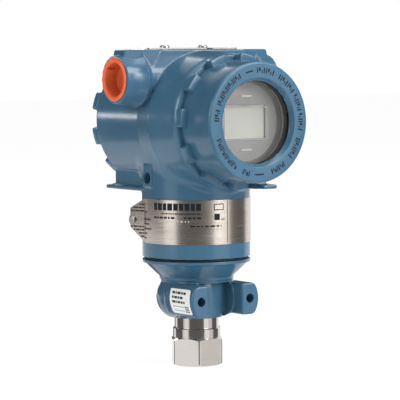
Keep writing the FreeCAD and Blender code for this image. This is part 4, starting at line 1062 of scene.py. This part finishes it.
def cards():
    """Dark surround of the studio: low rings near the stand and a dome beyond, all with openings."""
    wall = []
    stand = []
    for azimuth in range(-180, 180, CARD_STEP):
        middle = azimuth + CARD_STEP / 2
        behind = among(middle, [(60, 167)])
        if behind:
            wall.append(upright_card(azimuth, RING_RADIUS, 0.098, RING_TOP))
        if not among(middle, [(-193, -163), (-90, -56), (-5, 51), (96, 118)]):
            wall.append(upright_card(azimuth, NEAR_RADIUS, 0.0005, NEAR_TOP))
            low, high = (0.06, 0.098) if behind else (0.001, RING_TOP)
            wall.append(upright_card(azimuth, RING_RADIUS, low, high))
        if among(middle, [(-66, -44), (-190, -184), (-168, -162)]):
            stand.append(upright_card(azimuth, NEAR_RADIUS - 0.005, 0.0005, NEAR_TOP + 0.0005))
    card_mesh("ring_cards", wall, 0.13)
    # on the floor: a dark fan at each corner of the hexagon, and a pale strip off its right front face
    level = 0.0004
    fans = []
    for x, y, first, last in ((-8.4, -14.6, -164, -98), (8.4, -14.6, -50, 0), (-16.8, 0, -236, -184)):
        tip = Vector((x * MM, y * MM, level))
        for turn in range(first, last, 6):
            fans.append([tip, tip + around(turn, FAN_REACH, 0), tip + around(turn + 6, FAN_REACH, 0)])
    card_mesh("corner_cards", fans, 0.13)
    strip = around(-55, FAN_REACH, 0)
    left, right = Vector((-0.0075, -0.0145, level)), Vector((0.0085, -0.0145, level))
    stand.append([left, left + strip, right + strip, right])
    card_mesh("stand_cards", stand, 0.8)
    dome = []
    windows = [(-193, -163, -30, 45), (-90, -48, -30, 9), (-82, -26, 14, 50), (-5, 51, -30, 30),
               (66, 96, 26, 42), (117, 129, 0, 6), (-180, 179.9, 56, 90)]
    for azimuth in range(-180, 180, CARD_STEP):
        for height in range(-8, 90, CARD_STEP):
            if among(azimuth + CARD_STEP / 2, windows, height + CARD_STEP / 2):
                continue
            corners = []
            for turn, rise in ((0, 0), (CARD_STEP, 0), (CARD_STEP, CARD_STEP), (0, CARD_STEP)):
                tilt = math.radians(height + rise)
                corners.append(around(azimuth + turn, DOME_RADIUS * math.cos(tilt),
                                      DOME_HEIGHT + DOME_RADIUS * math.sin(tilt)))
            dome.append(corners)
    card_mesh("dome_cards", dome, 0.06)


def backdrop():
    """White all round for the camera, mirrors and glass, and a softer grey as a light."""
    world = bpy.data.worlds.new("studio")
    bpy.context.scene.world = world
    world.use_nodes = True
    studio = Nodes(world.node_tree)
    seen = studio.tree.nodes["Background"]
    studio.fill(seen, {"Color": (1, 1, 1, 1), "Strength": 1.0})
    dim = studio.node("ShaderNodeBackground", Color=(0.96, 0.98, 1, 1), Strength=0.42)
    studio.mix_out(studio.seen_share(), dim.outputs["Background"], seen.outputs["Background"],
                   studio.tree.nodes["World Output"])


def floor():
    """Pale floor that the transmitter stands on, which keeps its shadow."""
    half = 6.0
    mesh = bpy.data.meshes.new("floor")
    corners = [(-half, -half, 0), (half, -half, 0), (half, half, 0), (-half, half, 0)]
    mesh.from_pydata(corners, [], [range(4)])
    pale = Shader("floor_white")
    pale.set(Base_Color=(0.93, 0.93, 0.93, 1), Roughness=0.8, Specular_IOR_Level=0.0)
    glow = pale.node("ShaderNodeEmission", Strength=1.03)
    share = pale.node("ShaderNodeMath", operation="MULTIPLY")
    share.inputs[1].default_value = 0.92
    pale.link(pale.seen_share(), share.inputs[0])
    pale.mix_out(share.outputs["Value"], pale.surface.outputs["BSDF"], glow.outputs["Emission"],
                 pale.output)
    mesh.materials.append(pale.material)
    link_object("floor", mesh)


give(STEEL, "isolating_diaphragm", "sensor_cell", "module_header", "cell_lead_tube")
give(PLATE, "nameplate", "tag_plate")
give(SCREW, "nameplate_screw", "rear_cover_lock_screw", "front_cover_lock_screw", "rotation_set_screw",
     "glass_retaining_ring", "display_standoffs", "terminal_screws", "internal_ground_screw",
     "tag_screw_left", "tag_screw_right")
give(RUBBER, "module_seal", "front_cover_seal", "window_gasket", "rear_cover_seal")
give(GLASS, "window_glass")
give(BEZEL, "display_bezel")
give(LCD, "lcd_panel")
give(BOARD, "display_board", "main_board")
give(BLACK, "header_connector", "lcd_backlight", "electronics_carrier", "terminal_block", "zero_button",
     "span_button")
give(AMBER, "sensor_ribbon")

housing_piece()
casting_piece()
connection_piece()
cover_piece("display_cover", "front_cover", 180 - 20.7, 35.5, front_cover_profile, -31.4)
cover_piece("blind_cover", "rear_cover", 178.9, 35.3, rear_cover_profile, 36.8)
port_thread()
plug_piece(-1, "conduit_plug_left", "left_plug")
plug_piece(1, "conduit_plug_right", "right_plug")
grey_ring("window_ground_edge", "front_cover",
          [(-56.8, 25.4), (-56.8, 25.64), (-50.0, 25.64), (-50.0, 25.4)])
grey_ring("display_shroud", "housing",
          [(-44.3, 21.5), (-48.3, 24.2), (-48.3, 24.9), (-47.9, 24.9), (-43.9, 22.3), (-43.9, 21.5)])
ring_marks()
nameplate_prints()
tab_prints()
serial_label()
display_details()

camera()
lights()
cards()
backdrop()
floor()

scene = bpy.context.scene
scene.view_settings.view_transform = "Standard"
